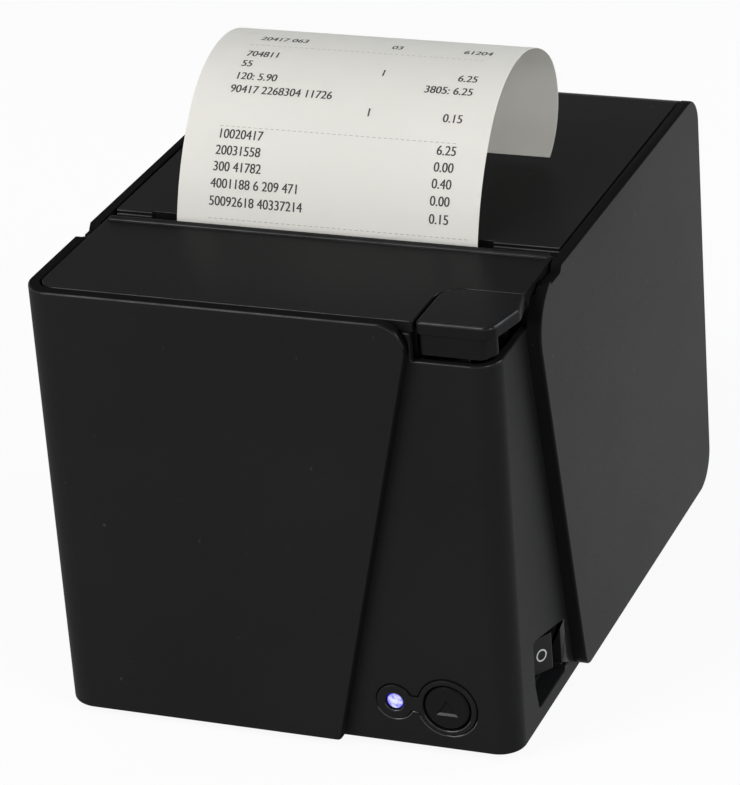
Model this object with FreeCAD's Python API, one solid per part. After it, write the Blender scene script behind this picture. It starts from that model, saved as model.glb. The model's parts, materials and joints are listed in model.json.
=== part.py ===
import FreeCAD, Part
import math
import os

os.makedirs("parts", exist_ok=True)

# Lengths are millimetres. While modelling, X runs across from the middle, Y runs back
# from the front panel's face, and Z runs up from the foot of the front panel.

# Envelope
WIDTH = 124.0             # across both side panels
DEPTH = 156.0             # front panel face to the rear edge of the side panels
HEIGHT = 115.0            # foot of the front panel to the flush top
FOOT_DROP = 2.0           # how far the rubber feet stand below the panels

# Walls and gaps
SIDE_T = 3.6              # side panel
FRONT_T = 2.8             # front panel
REAR_T = 2.6              # rear panel
CASE_T = 2.2              # inner case
COVER_T = 2.6             # lid
LID_LIP_T = 1.3           # lid's thin front lip, a step below its top
RIM_T = 2.7               # rim left standing beside the lid
SEAM = 0.6                # seam between neighbouring covers
GAP = 0.3                 # room between pieces that move past each other
RUN = 0.05                # radial play of a shaft in its bore
LID_REST = 0.4            # lid underside above the case walls
PANEL_FOOT = 0.2          # lower edge of the front panel
CASE_FOOT = 0.4           # lower edge of the inner case
SIDE_FOOT = 2.0           # lower edge of the side panels

# Front panel and control column
FRONT_CORNER = 8.0        # rounded upright edge at the left front
COLUMN_CORNER = 6.5       # rounded upright edge at the right front
SLANT_FOOT = 13.2         # front panel's right edge at its foot
SLANT = 0.225             # sideways run of that edge per unit of height
SLANT_CORNER = 7.0        # its rounded upper corner
PANEL_EDGE = 0.6          # rounded outer edge of the front panel
LEDGE_DROP = 10.0         # column top below the flush top
LEDGE_REAR = 28.0         # rear end of the lowered column top
LEFT_SEAM_TOP = 38.0      # seam between front and left panels at the top
LEFT_SEAM_RUN = 0.21      # its run to the rear per unit of fall
CONTROL_Z = 12.0          # height of lamp and feed button
LED_X = 27.1
LED_R = 2.3
BUTTON_X = 40.8
BUTTON_R = 5.8
BUTTON_GAP = 0.5          # groove round the button
BUTTON_PROUD = 0.5
BEZEL_PROUD = 0.4
BEZEL_FIT = 0.15          # hairline round the insert
BEZEL_BUTTON_R = 7.6      # figure-eight insert round the button
BEZEL_LED_R = 4.6         # and round the lamp
BEZEL_NECK = 3.8          # width of the neck between the two
BOARD_T = 1.6             # circuit boards
BOARD_FRONT = 12.6        # board behind the controls
BOARD_X = (18.5, 48.6)
BOARD_Z = (4.0, 22.0)
BOARD_POSTS = ((21.0, 19.6), (33.0, 20.0))

# Side panels
SIDE_FRONT_TOP = 22.3     # right panel's front edge, carried up to the flush top
SIDE_FRONT_RUN = 0.214    # its run to the rear per unit of fall
SIDE_TOP_CORNER = 13.0
SIDE_REAR_CORNER = 8.0
SIDE_FOOT_CORNER = 4.0
SIDE_HEEL_CORNER = 9.5
SIDE_EDGE = 0.5           # rounded outer edge
NOTCH_Y = (33.0, 43.0)    # notch in both top rims
NOTCH_DEPTH = 2.0
NOTCH_LEAN = 1.7          # run of its slanted ends

# Power switch on the column's right side
POCKET_Y = (18.0, 40.9)
POCKET_Z = (4.7, 18.5)
POCKET_TOP_FRONT = 24.2   # the pocket is taller at the front
POCKET_DEPTH = 6.0
POCKET_WALL = 1.5
POCKET_RAMP = (1.1, 1.6)  # depth and run of the slope at its rear edge
SWITCH_Y = 30.3
SWITCH_Z = 12.0
SWITCH_FRAME = (10.3, 6.4, 1.6)   # half length, half height and thickness of its flange
SWITCH_BODY = (10.0, 6.1, 9.5)    # half length, half height and depth of its housing
SWITCH_MOUTH = (9.6, 5.3)         # half length and half height of the opening
ROCKER_HALF = (9.0, 5.0)          # half length and half height of the rocker
ROCKER_CREST = (4.2, 6.5)         # how far out and how far along its two crests lie
ROCKER_SUNK = 1.0         # rocker axis below the pocket floor
ROCKER_PIN_R = 0.8
ROCKER_TILT = 9.0         # degrees either side of level

# Paper
PAPER_W = 79.5
PAPER_T = 0.3
PAPER_X = -1.2            # middle of the paper path
PAPER_Y = 47.4            # plane of the paper at the print line
ROLL_R = 36.0
CORE_R = 9.0
CORE_T = 2.5
SLOT_FRONT = 46.5         # rear edge of the top front panel
SLOT_REAR = 52.0          # edge of the recess in the lid
RECESS_X = (-48.9, 41.7)
RECEIPT_LEAN_R = 37.4     # bend inside the slot
RECEIPT_LEAN = 15.5       # degrees back from upright where the slip leaves the slot
RECEIPT_RISE = (57.0, 29.5)    # radius and degrees of the rising stretch
RECEIPT_CROWN = (32.5, 83.0)   # of the crown
RECEIPT_CURL = (16.1, 115.0)   # of the curled end

# Paper path mechanism
PLATEN_R = 6.0
PLATEN_DROP = 20.0        # platen axis below the flush top
SHAFT_R = 3.0
BUSH_R = 4.5
CHEEK_T = 2.0
PLATE_T = 1.2             # sheet-metal chassis
FRAME_FRONT = 13.5
FRAME_FOOT_X = 6.8        # reach of the feet it stands on
FRAME_FOOT_Y = (46.0, 60.0)
HEAD_PIN_R = 1.5          # print head
HEAD_T = 3.0
CERAMIC_T = 1.0
BAR_Y = (37.2, 38.4)      # crossbar that its springs push against
LEAF_X = 22.0
HOOK_T = 1.6
GEAR_W = 4.0
MODULE = 0.8
BACKLASH = 0.16
PRESSURE_ANGLE = 20.0
ADDENDUM = 0.8            # of the module: stub teeth
DEDENDUM = 1.05
PLATEN_TEETH = 18
IDLER_TEETH = 36
MOTOR_TEETH = 14
MOTOR_BEARING = 215.0     # degrees, direction from idler to motor
MOTOR_R = 15.0
MOTOR_L = 17.0
STUD_R = 2.5

# Roll trough
BAY_R = 41.5
BAY_BACK = 52.0           # trough axis ahead of the rear edge
BAY_FLOOR = 16.0
BUCKET_T = 1.8
BUCKET_LEG_Y = (-24.0, 18.0)      # its legs from the trough axis
BUCKET_LEG = (5.0, 7.0)
RAMP_GAP = 0.02           # web to the ramp it lies on
RAMP_DROP = 35.0          # top of the ramp below the flush top

# Lid hinge
HINGE_BACK = 5.0          # axis ahead of the rear edge
HINGE_DROP = 17.0         # axis below the flush top
BARREL_R = 4.7
PIN_R = 2.0
LID_CORNER = 8.0
EAR_T = 3.4
KNUCKLE_X = (36.0, 52.0)
FRAME_REAR = 11.0         # rear end of the lid's carrier ahead of the rear edge

# Lid release
LEVER_PIVOT_Y = 44.0
LEVER_PIVOT_DROP = 7.0
LEVER_PIN_R = 1.5
LEVER_X = (39.3, 58.2)
LEVER_Y = (2.7, 22.8)
LEVER_WAIST = 15.0        # where its right edge stands out furthest
LEVER_FLARE = 2.8         # and by how much
LEVER_PROUD = 0.4         # top of the pad above the flush top
LEVER_LIP = 3.3           # thickness of the pad
LEVER_INSET = 0.5         # skirt inside the pad's outline
LEVER_HEEL = 7.0          # how far its right wall leans in towards the rear
LEVER_LIFT = 1.6          # skirt above the column top, the room for pressing
LEVER_WALL = 1.6
LEVER_CLEAR = 0.9         # gap to the top panel
ARM_X = (47.8, 54.4)
LATCH_TIP_Y = 26.0        # where the lever meets the latch arm
HOOK_BITE = 0.6           # hook nose over the platen shaft
LATCH_AHEAD = 15.85       # latch shaft ahead of and below the platen axis
LATCH_BELOW = 13.0
LATCH_R = 2.0
SPRING_TURNS = 3
SPRING_WIRE = 0.8
SPRING_SIDES = 5          # flat sides of the wire
SPRING_R = 3.0
SPRING_L = 6.0

# Cutter
BLADE_DROP = 13.1         # moving blade's underside below the flush top
BLADE_T = 1.0
BLADE_VEE = 2.0
CUTTER_TEETH = 12
CUTTER_MOTOR_TEETH = 10
CUTTER_Y = 26.0           # pinion shaft
CUTTER_R = 2.0
RACK_INSET = 10.4         # racks from the blade's ends
RACK_W = 5.0
RACK_BASE = 1.0
RACK_Y = (16.0, 33.5)
CUTTER_MOTOR_BEARING = -70.0
CUTTER_MOTOR_R = 6.0

# Fastenings and feet
CORNER_BLOCK = (7.0, 9.2)         # screw block in each case corner
CORNER_TOP = 14.0
SCREW_R = 1.3
SCREW_HEAD_R = 2.8
SCREW_INSET = (4.6, 6.6)          # screw from the case's inner faces
FOOT_R = 6.0
FOOT_INSET = 0.9

# Main board and the connectors at its rear
BOARD_LEVEL = 9.0
MAIN_X = (-41.0, 41.0)
MAIN_AHEAD = 84.0
WINDOW_X = (-46.0, 46.0)
WINDOW_Z = (10.0, 27.0)
LAN = (30.0, 16.0, 13.4, 15.0)    # middle X, width, height and depth of each connector
USB = (8.0, 12.0, 11.0, 14.0)
DRAWER = (-13.0, 13.2, 12.6, 15.0)
POWER = (-36.0, 14.0, 14.0, 14.0)

# Faces, axes and levels that follow from those sizes
CASE_X = WIDTH / 2 - SIDE_T
CASE_IN = CASE_X - CASE_T
REAR_FACE = DEPTH - 0.2
CASE_REAR = REAR_FACE - REAR_T
COVER_UNDER = HEIGHT - COVER_T
CASE_TOP = COVER_UNDER - LID_REST
RIM_IN = WIDTH / 2 - RIM_T
COVER_X = RIM_IN - SEAM
LEDGE_Z = HEIGHT - LEDGE_DROP
FLOOR_TOP = 2.5
PLATEN_Y = PAPER_Y + PAPER_T / 2 + GAP + PLATEN_R
PLATEN_Z = HEIGHT - PLATEN_DROP
HINGE_Y = DEPTH - HINGE_BACK
HINGE_Z = HEIGHT - HINGE_DROP
REAR_TOP = HINGE_Z - BARREL_R - 1.0
BAY_Y = DEPTH - BAY_BACK
ROLL_Z = BAY_FLOOR + GAP + ROLL_R
LATCH_Y = PLATEN_Y - LATCH_AHEAD
LATCH_Z = PLATEN_Z - LATCH_BELOW
LEVER_PIVOT_Z = HEIGHT - LEVER_PIVOT_DROP
BLADE_Z = HEIGHT - BLADE_DROP
FIXED_Z = BLADE_Z + BLADE_T + GAP
ROLLER_HALF = PAPER_W / 2 + 0.85
CHEEK_IN = ROLLER_HALF + 0.6
PLATE_IN = CHEEK_IN + CHEEK_T + 0.8
HOOK_IN = PLATE_IN + PLATE_T + 0.8
GEAR_IN = HOOK_IN + HOOK_T + 1.4
HEAD_FACE = PAPER_Y - PAPER_T / 2 - GAP
HEAD_PIVOT_Y = HEAD_FACE - 2.4
HEAD_PIVOT_Z = PLATEN_Z - 10.5
LEDGE_LEFT = SLANT_FOOT + SLANT * LEDGE_Z + 0.8
BARREL_X = CASE_IN - 0.4
CROSS_FRONT = SLOT_FRONT + 3.2
WEB_TOP = BLADE_Z - 0.4
RECEIPT_FOOT = FIXED_Z + 0.1
BLADE_HALF = ROLLER_HALF - 0.2
BLADE_EDGE = PAPER_Y - 1.6
RACK_X = BLADE_HALF - RACK_INSET
LATCH_TOP = LEVER_PIVOT_Z - 8.0
LEVER_TOP = HEIGHT + LEVER_PROUD
LEVER_BROW = LEVER_TOP - LEVER_LIP
TRAY_FRONT = FRONT_T + CASE_T + GAP
TRAY_REAR = CASE_REAR - 8.0 - GAP
PORT_FACE = CASE_REAR + 0.6


def vec(x, y, z):
    return FreeCAD.Vector(x, y, z)


def block(x, y, z):
    """Box between (low, high) pairs."""
    size = (x[1] - x[0], y[1] - y[0], z[1] - z[0])
    return Part.makeBox(size[0], size[1], size[2], vec(x[0], y[0], z[0]))


def rod_x(x, y, z, radius):
    return Part.makeCylinder(radius, x[1] - x[0], vec(x[0], y, z), vec(1, 0, 0))


def rod_y(x, y, z, radius):
    return Part.makeCylinder(radius, y[1] - y[0], vec(x, y[0], z), vec(0, 1, 0))


def rod_z(x, y, z, radius):
    return Part.makeCylinder(radius, z[1] - z[0], vec(x, y, z[0]), vec(0, 0, 1))


def hex_z(x, y, z, radius):
    """Upright six-sided rod."""
    corners = []
    for corner in range(6):
        angle = math.pi * corner / 3
        corners.append((x + radius * math.cos(angle), y + radius * math.sin(angle)))
    return plate("z", corners, z)


AXES = {"x": vec(1, 0, 0), "y": vec(0, 1, 0), "z": vec(0, 0, 1)}


def on_plane(axis, u, v, level):
    """Point (u, v) of the plane square to an axis."""
    return {"x": vec(level, u, v), "y": vec(u, level, v), "z": vec(u, v, level)}[axis]


def outline(axis, corners, level):
    """Closed wire through corners (u, v, radius), with tangent arcs at the rounded ones."""
    ends = []
    edges = []
    count = len(corners)
    for i in range(count):
        here = on_plane(axis, corners[i][0], corners[i][1], level)
        radius = corners[i][2] if len(corners[i]) > 2 else 0
        if radius == 0:
            ends.append((here, here))
            continue
        before = on_plane(axis, corners[i - 1][0], corners[i - 1][1], level)
        after = on_plane(axis, corners[(i + 1) % count][0], corners[(i + 1) % count][1], level)
        back = (before - here).normalize()
        ahead = (after - here).normalize()
        half = back.getAngle(ahead) / 2
        reach = radius / math.tan(half)
        start = here + back * reach
        stop = here + ahead * reach
        inward = (back + ahead).normalize()
        middle = here + inward * (radius / math.sin(half) - radius)
        edges.append(Part.Arc(start, middle, stop).toShape())
        ends.append((start, stop))
    for i in range(count):
        start = ends[i][1]
        stop = ends[(i + 1) % count][0]
        if start.distanceToPoint(stop) > 1e-6:
            edges.append(Part.LineSegment(start, stop).toShape())
    return Part.Wire(Part.__sortEdges__(edges))


def plate(axis, corners, span):
    """Solid plate of a rounded outline between two levels along an axis."""
    face = Part.Face(outline(axis, corners, span[0]))
    return face.extrude(AXES[axis] * (span[1] - span[0]))


def rectangle(u, v, radius=0):
    return [(u[0], v[0], radius), (u[1], v[0], radius), (u[1], v[1], radius), (u[0], v[1], radius)]


def join(first, *others):
    return first.fuse(list(others)).removeSplitter()


def polar(y, z, distance, degrees):
    """Point at a distance and direction from an axis along X."""
    angle = math.radians(degrees)
    return y + distance * math.cos(angle), z + distance * math.sin(angle)


def both_sides(inner, outer):
    """X spans of a pair of pieces either side of the paper path."""
    return [(PAPER_X - outer, PAPER_X - inner), (PAPER_X + inner, PAPER_X + outer)]


def rounded_edges(shape, radius, chosen):
    edges = [edge for edge in shape.Edges if chosen(edge)]
    return shape.makeFillet(radius, edges)


def bevelled_edges(shape, size, chosen):
    edges = [edge for edge in shape.Edges if chosen(edge)]
    return shape.makeChamfer(size, edges)


def ribbon(start, heading, bends, thickness, x):
    """Bent sheet: bends are (radius, degrees), or (None, length) for a straight stretch.

    The heading is degrees from upright towards the rear, and positive bends turn that way.
    """
    y, z = start
    near_edges = []
    far_edges = []

    def side(distance, angle, py, pz):
        turn = math.radians(angle)
        return vec(x[0], py + distance * math.cos(turn), pz - distance * math.sin(turn))

    def walk(radius, amount, py, pz, angle):
        if radius is None:
            turn = math.radians(angle)
            return py + amount * math.sin(turn), pz + amount * math.cos(turn), angle
        signed = math.copysign(radius, amount)
        centre = side(signed, angle, py, pz)
        moved = side(-signed, angle + amount, centre.y, centre.z)
        return moved.y, moved.z, angle + amount

    half = thickness / 2
    for radius, amount in bends:
        stops = [(y, z, heading)]
        stops.append(walk(radius, amount / 2, y, z, heading))
        stops.append(walk(radius, amount, y, z, heading))
        for edges, offset in ((near_edges, -half), (far_edges, half)):
            points = [side(offset, angle, py, pz) for py, pz, angle in stops]
            if radius is None:
                edges.append(Part.LineSegment(points[0], points[2]).toShape())
            else:
                edges.append(Part.Arc(points[0], points[1], points[2]).toShape())
        y, z, heading = stops[2]
    caps = []
    for index in (0, -1):
        near = near_edges[index].Vertexes[index].Point
        far = far_edges[index].Vertexes[index].Point
        caps.append(Part.LineSegment(near, far).toShape())
    wire = Part.Wire(Part.__sortEdges__(near_edges + far_edges + caps))
    return Part.Face(wire).extrude(vec(x[1] - x[0], 0, 0))


def involute(radius, base):
    angle = math.acos(min(1.0, base / radius))
    return math.tan(angle) - angle


def gear(teeth, x, y, z, tooth_at, bore):
    """Spur gear on an axis along X with one tooth centred in the direction tooth_at (degrees)."""
    pitch_r = MODULE * teeth / 2
    base_r = pitch_r * math.cos(math.radians(PRESSURE_ANGLE))
    root_r = pitch_r - DEDENDUM * MODULE
    tip_r = pitch_r + ADDENDUM * MODULE
    pitch_half = math.pi / (2 * teeth) - BACKLASH / (2 * pitch_r) + involute(pitch_r, base_r)
    flank = [(r, pitch_half - involute(max(r, base_r), base_r)) for r in (root_r, tip_r)]
    points = []
    for tooth in range(teeth):
        middle = math.radians(tooth_at + 360.0 * tooth / teeth)
        rising = [(r, middle - half) for r, half in flank]
        falling = [(r, middle + half) for r, half in reversed(flank)]
        for radius, angle in rising + falling:
            points.append(vec(x[0], y + radius * math.cos(angle), z + radius * math.sin(angle)))
    kept = [p for i, p in enumerate(points) if p.distanceToPoint(points[i - 1]) > 1e-4]
    face = Part.Face(Part.makePolygon(kept + [kept[0]]))
    return face.extrude(vec(x[1] - x[0], 0, 0)).cut(rod_x(x, y, z, bore))


def mating_tooth(teeth, tooth_at, mate_teeth, direction):
    """Tooth direction of a gear that meshes with another one lying in a direction from it."""
    step = 360.0 / teeth
    off = (tooth_at - direction) % step
    return direction + 180.0 - off * teeth / mate_teeth + 180.0 / mate_teeth


# Shell pieces

def case_plan(inset):
    """Plan of the inner case, moved inwards; it is open at the rear."""
    side = CASE_X - inset
    front = FRONT_T + inset
    left = FRONT_CORNER - FRONT_T - inset
    right = COLUMN_CORNER - inset
    return [(-side, front, left), (side, front, right), (side, CASE_REAR), (-side, CASE_REAR)]


def pocket_outline(grow):
    y0, y1 = POCKET_Y[0] - grow, POCKET_Y[1] + grow
    z0, z1 = POCKET_Z[0] - grow, POCKET_Z[1] + grow
    return [(y0, POCKET_TOP_FRONT + grow, 1.2), (y1, z1, 1.2), (y1, z0, 1.2), (y0 + 2, z0, 1.2),
            (y0, SWITCH_Z)]


def bezel_outline(grow, y):
    """Figure eight round button and lamp, between two Y levels."""
    around_button = rod_y(BUTTON_X, y, CONTROL_Z, BEZEL_BUTTON_R + grow)
    around_led = rod_y(LED_X, y, CONTROL_Z, BEZEL_LED_R + grow)
    half = BEZEL_NECK / 2 + grow
    neck = block((LED_X, BUTTON_X), y, (CONTROL_Z - half, CONTROL_Z + half))
    return join(around_button, around_led, neck)


def corner_blocks():
    """X and Y spans of the four screw blocks in the case's corners."""
    spans = []
    wide, deep = CORNER_BLOCK
    for x in ((-CASE_IN, -CASE_IN + wide), (CASE_IN - wide, CASE_IN)):
        for y in (FRONT_T + CASE_T, CASE_REAR - 2 * deep):
            spans.append((x, (y, y + deep)))
    return spans


def screw_spots():
    x = CASE_IN - SCREW_INSET[0]
    return [(side * x, y[0] + SCREW_INSET[1]) for side in (-1, 1) for _, y in corner_blocks()[:2]]


def main_case():
    tall = (CASE_FOOT, CASE_TOP)
    outer = plate("z", case_plan(0), tall)
    shell = outer.cut(plate("z", case_plan(CASE_T), (CASE_FOOT - 1, CASE_TOP + 1)))
    added = []
    for x, y in corner_blocks():
        added.append(block(x, y, (FLOOR_TOP, CORNER_TOP)).common(outer))
    pocket_x = (CASE_X - POCKET_DEPTH - POCKET_WALL, CASE_X - CASE_T)
    added.append(plate("x", pocket_outline(POCKET_WALL), pocket_x))
    for x, z in BOARD_POSTS:
        added.append(rod_y(x, (FRONT_T + CASE_T - 0.5, BOARD_FRONT), z, 2.0))
    boss_x = (ARM_X[1] + GAP, CASE_IN + 0.5)
    added.append(rod_x(boss_x, LEVER_PIVOT_Y, LEVER_PIVOT_Z, LEVER_PIN_R + 2.0))
    case = join(shell, *added)
    case = case.cut(block((LEDGE_LEFT, WIDTH), (0, LEDGE_REAR), (LEDGE_Z, HEIGHT)))
    case = case.cut(plate("x", pocket_outline(0), (CASE_X - POCKET_DEPTH, CASE_X + 1)))
    deep, run = POCKET_RAMP
    ramp = [(CASE_X - deep, POCKET_Y[1]), (CASE_X, POCKET_Y[1] + run), (CASE_X + 1, POCKET_Y[1] + run),
            (CASE_X + 1, POCKET_Y[1] - 1), (CASE_X - deep, POCKET_Y[1] - 1)]
    case = case.cut(plate("z", ramp, (POCKET_Z[0] + 1.0, POCKET_Z[1] - 1.0)))
    case = case.cut(switch_block((pocket_x[0] - 1, CASE_X), SWITCH_BODY[0] + 0.1, SWITCH_BODY[1] + 0.1))
    case = case.cut(bezel_outline(BEZEL_FIT, (0, FRONT_T + CASE_T + 1)))
    case = case.cut(rod_x((boss_x[0] - 1, CASE_IN + 0.3), LEVER_PIVOT_Y, LEVER_PIVOT_Z, LEVER_PIN_R))
    for x, y in screw_spots():
        case = case.cut(hex_z(x, y, (FLOOR_TOP - 1, CORNER_TOP - 2), SCREW_R))
    inner = heel_profile(REAR_T)
    below = [inner[0], inner[1], inner[2], (inner[2][0], -1), (DEPTH, -1), (DEPTH, REAR_TOP)]
    case = case.cut(plate("x", below, (-WIDTH, WIDTH)))
    corner = block((-WIDTH, WIDTH), (CASE_REAR - LID_CORNER, DEPTH), (CASE_TOP - LID_CORNER, HEIGHT))
    rounding = rod_x((-WIDTH, WIDTH), CASE_REAR - LID_CORNER, CASE_TOP - LID_CORNER, LID_CORNER)
    return case.cut(corner.cut(rounding))


def front_panel():
    tall = (PANEL_FOOT, HEIGHT)
    half = WIDTH / 2
    outer = plate("z", [(-half, 0, FRONT_CORNER), (half, 0), (half, DEPTH), (-half, DEPTH)], tall)
    inner_r = FRONT_CORNER - FRONT_T
    inside = [(-CASE_X, FRONT_T, inner_r), (WIDTH, FRONT_T), (WIDTH, DEPTH + 1), (-CASE_X, DEPTH + 1)]
    shell = outer.cut(plate("z", inside, (PANEL_FOOT - 1, HEIGHT + 1)))
    rim = [(-RIM_IN, FRONT_T, inner_r), (WIDTH, FRONT_T), (WIDTH, DEPTH + 1), (-RIM_IN, DEPTH + 1)]
    shell = shell.cut(plate("z", rim, (CASE_TOP, HEIGHT + 1)))
    slant_top = SLANT_FOOT + SLANT * HEIGHT
    face = [(-WIDTH, PANEL_FOOT), (SLANT_FOOT, PANEL_FOOT, 1.5), (slant_top, HEIGHT, SLANT_CORNER),
            (-WIDTH, HEIGHT)]
    shell = shell.common(plate("y", face, (-1, DEPTH)))
    seam_foot = LEFT_SEAM_TOP + LEFT_SEAM_RUN * HEIGHT
    kept = [(-1, 0), (seam_foot - SEAM, 0), (LEFT_SEAM_TOP - SEAM, HEIGHT), (-1, HEIGHT)]
    shell = shell.common(plate("x", kept, (-WIDTH, WIDTH)))

    def outer_edge(edge):
        box = edge.BoundBox
        on_top = box.ZMin > HEIGHT - 0.01 and (box.YMin < 0.01 or box.XMin < 0.01 - half)
        on_right = box.YMax < 0.01 and box.XMax > SLANT_FOOT - 2 and box.ZMax > PANEL_FOOT + 2
        return on_top or (on_right and box.ZMax - box.ZMin > 1)

    return rounded_edges(shell, PANEL_EDGE, outer_edge).cut(rim_notch())


def rim_notch():
    """Cutter for the notch in the side rims, clear through from side to side above the covers' sides."""
    low = HEIGHT - NOTCH_DEPTH
    mouth = NOTCH_Y
    corners = [(mouth[0] - 0.5, HEIGHT + 1), (mouth[0] + NOTCH_LEAN, low), (mouth[1] - NOTCH_LEAN, low),
               (mouth[1] + 0.5, HEIGHT + 1)]
    cutter = plate("x", corners, (-WIDTH, WIDTH))
    return cutter.cut(block((-RIM_IN, RIM_IN), (0, DEPTH), (0, 2 * HEIGHT)))


def side_panel(front_top, front_run, top_corner, side):
    """Overlay panel of one side: side is 1 on the right and -1 on the left."""
    foot_y = front_top + front_run * (HEIGHT - SIDE_FOOT)
    corners = [(front_top, HEIGHT, top_corner), (foot_y, SIDE_FOOT, SIDE_FOOT_CORNER),
               (DEPTH, SIDE_FOOT, SIDE_HEEL_CORNER), (DEPTH, HEIGHT, SIDE_REAR_CORNER)]
    panel = plate("x", corners, (CASE_X, WIDTH / 2))

    def outer_edge(edge):
        return edge.BoundBox.XMin > WIDTH / 2 - 0.01

    panel = rounded_edges(panel, SIDE_EDGE, outer_edge)
    rabbet = block((CASE_X - 1, RIM_IN), (0, DEPTH + 1), (CASE_TOP, HEIGHT + 1))
    sweep = block((CASE_X - 1, RIM_IN), (DEPTH - 2 * LID_CORNER, DEPTH + 1), (REAR_TOP, HEIGHT))
    panel = panel.cut(rabbet).cut(sweep).cut(rim_notch())
    if side < 0:
        panel = panel.mirror(vec(0, 0, 0), vec(1, 0, 0))
    return panel


def top_front_panel():
    front = FRONT_T + SEAM
    cut_x = LEVER_X[0] - LEVER_CLEAR
    cut_y = LEVER_Y[1] + LEVER_CLEAR
    corners = [(-COVER_X, front, 5.0), (cut_x, front, 0.8), (cut_x, cut_y, 6.5), (COVER_X, cut_y, 0.8),
               (COVER_X, SLOT_FRONT, 0.8), (-COVER_X, SLOT_FRONT, 0.8)]
    panel = plate("z", corners, (CASE_TOP, HEIGHT))
    bead_top = HEIGHT + 0.7
    rounded = [(SLOT_FRONT - 2.6, HEIGHT - 0.5), (SLOT_FRONT - 2.0, bead_top, 1.2),
               (SLOT_FRONT, bead_top, 0.7), (SLOT_FRONT, HEIGHT - 0.5)]
    bead = plate("x", rounded, (-COVER_X + 0.8, COVER_X - 0.8))
    skirt_x = (PAPER_X - ROLLER_HALF, PAPER_X + ROLLER_HALF)
    skirt = block(skirt_x, (SLOT_FRONT - 1.8, SLOT_FRONT), (CASE_TOP - 4.5, CASE_TOP))
    ribs = []
    for x in (-45.0, -22.5, 0.0, 22.5):
        ribs.append(block((x, x + 1.4), (8.0, SLOT_FRONT - 1.8), (CASE_TOP - 3.0, CASE_TOP)))
    left_z = (BLADE_Z + BLADE_T + 0.6, CASE_TOP)
    left_wall = block((cut_x - 1.4, cut_x), (front + CASE_T + 0.4, cut_y - 4.0), left_z)
    rear_wall = block((cut_x + 4.0, ARM_X[0] - 0.8), (cut_y, cut_y + 1.4), (FIXED_Z + 1.6, CASE_TOP))
    return join(panel, bead, skirt, left_wall, rear_wall, *ribs)


def heel_profile(inset):
    """Rear wall that turns under at its foot."""
    low = SIDE_FOOT + inset
    back = REAR_FACE - inset
    return [(back, REAR_TOP, 0), (back, low, SIDE_HEEL_CORNER - inset), (CASE_REAR - 8, low, 0)]


def rear_panel():
    outer = heel_profile(0)
    inner = heel_profile(REAR_T)
    wire = [outer[0], outer[1], outer[2], inner[2], inner[1], inner[0]]
    panel = plate("x", wire, (-CASE_X + 0.2, CASE_X - 0.2))
    panel = panel.cut(block(WINDOW_X, (CASE_REAR - 1, DEPTH), WINDOW_Z))
    for x in ear_spans():
        ear = plate("x", [(CASE_REAR + 0.5, REAR_TOP - 8), (HINGE_Y - BARREL_R + 0.4, REAR_TOP - 3),
                          (HINGE_Y - BARREL_R + 0.4, HINGE_Z + BARREL_R - 0.4, 4.0),
                          (HINGE_Y + BARREL_R - 0.4, HINGE_Z + BARREL_R - 0.4, 4.0),
                          (HINGE_Y + BARREL_R - 0.4, REAR_TOP - 0.5)], x)
        panel = join(panel, ear)
        panel = panel.cut(rod_x((x[0] - 1, x[1] + 1), HINGE_Y, HINGE_Z, PIN_R))
    return panel


def ear_spans():
    """X spans of the four hinge ears, either side of each lid knuckle."""
    low, high = KNUCKLE_X
    right = [(low - GAP - EAR_T, low - GAP), (high + GAP, high + GAP + EAR_T)]
    return right + [(-b, -a) for a, b in right]


def lid_cover():
    shell_in = BARREL_R - COVER_T + 0.2
    rear = HINGE_Y + BARREL_R
    lip = COVER_UNDER + LID_LIP_T
    corners = [(SLOT_FRONT + 1.0, COVER_UNDER), (SLOT_FRONT + 1.0, lip), (SLOT_REAR - 0.8, lip, 0.5),
               (SLOT_REAR - 0.8, HEIGHT, 0.4), (rear, HEIGHT, LID_CORNER),
               (rear, HINGE_Z - BARREL_R, BARREL_R - 0.01), (HINGE_Y, HINGE_Z - BARREL_R),
               (HINGE_Y, HINGE_Z - shell_in), (HINGE_Y + shell_in, HINGE_Z - shell_in, shell_in - 0.01),
               (HINGE_Y + shell_in, COVER_UNDER, LID_CORNER - COVER_T)]
    lid = plate("x", corners, (-COVER_X, COVER_X))
    for x in ((-WIDTH, -BARREL_X), (BARREL_X, WIDTH)):
        lid = lid.cut(block(x, (CASE_REAR - 10, DEPTH + 1), (0, HINGE_Z + 3.4)))
    for x in (KNUCKLE_X, (-KNUCKLE_X[1], -KNUCKLE_X[0])):
        lid = join(lid, rod_x(x, HINGE_Y, HINGE_Z, BARREL_R - 0.01))
    for x in ear_spans():
        window = (x[0] - GAP, x[1] + GAP)
        lid = lid.cut(block(window, (HINGE_Y - BARREL_R, DEPTH + 1), (0, HINGE_Z + BARREL_R + GAP)))
    lid = lid.cut(rod_x((-WIDTH, WIDTH), HINGE_Y, HINGE_Z, PIN_R + RUN))
    return lid.cut(block(RECESS_X, (0, SLOT_REAR), (0, 2 * HEIGHT)))


def lid_hinge_pins():
    pins = []
    for side in (-1, 1):
        ends = sorted((side * (KNUCKLE_X[0] - GAP - EAR_T), side * (KNUCKLE_X[1] + GAP + EAR_T)))
        pins.append(rod_x(ends, HINGE_Y, HINGE_Z, PIN_R - 0.01))
    return Part.Compound(pins)


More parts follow.
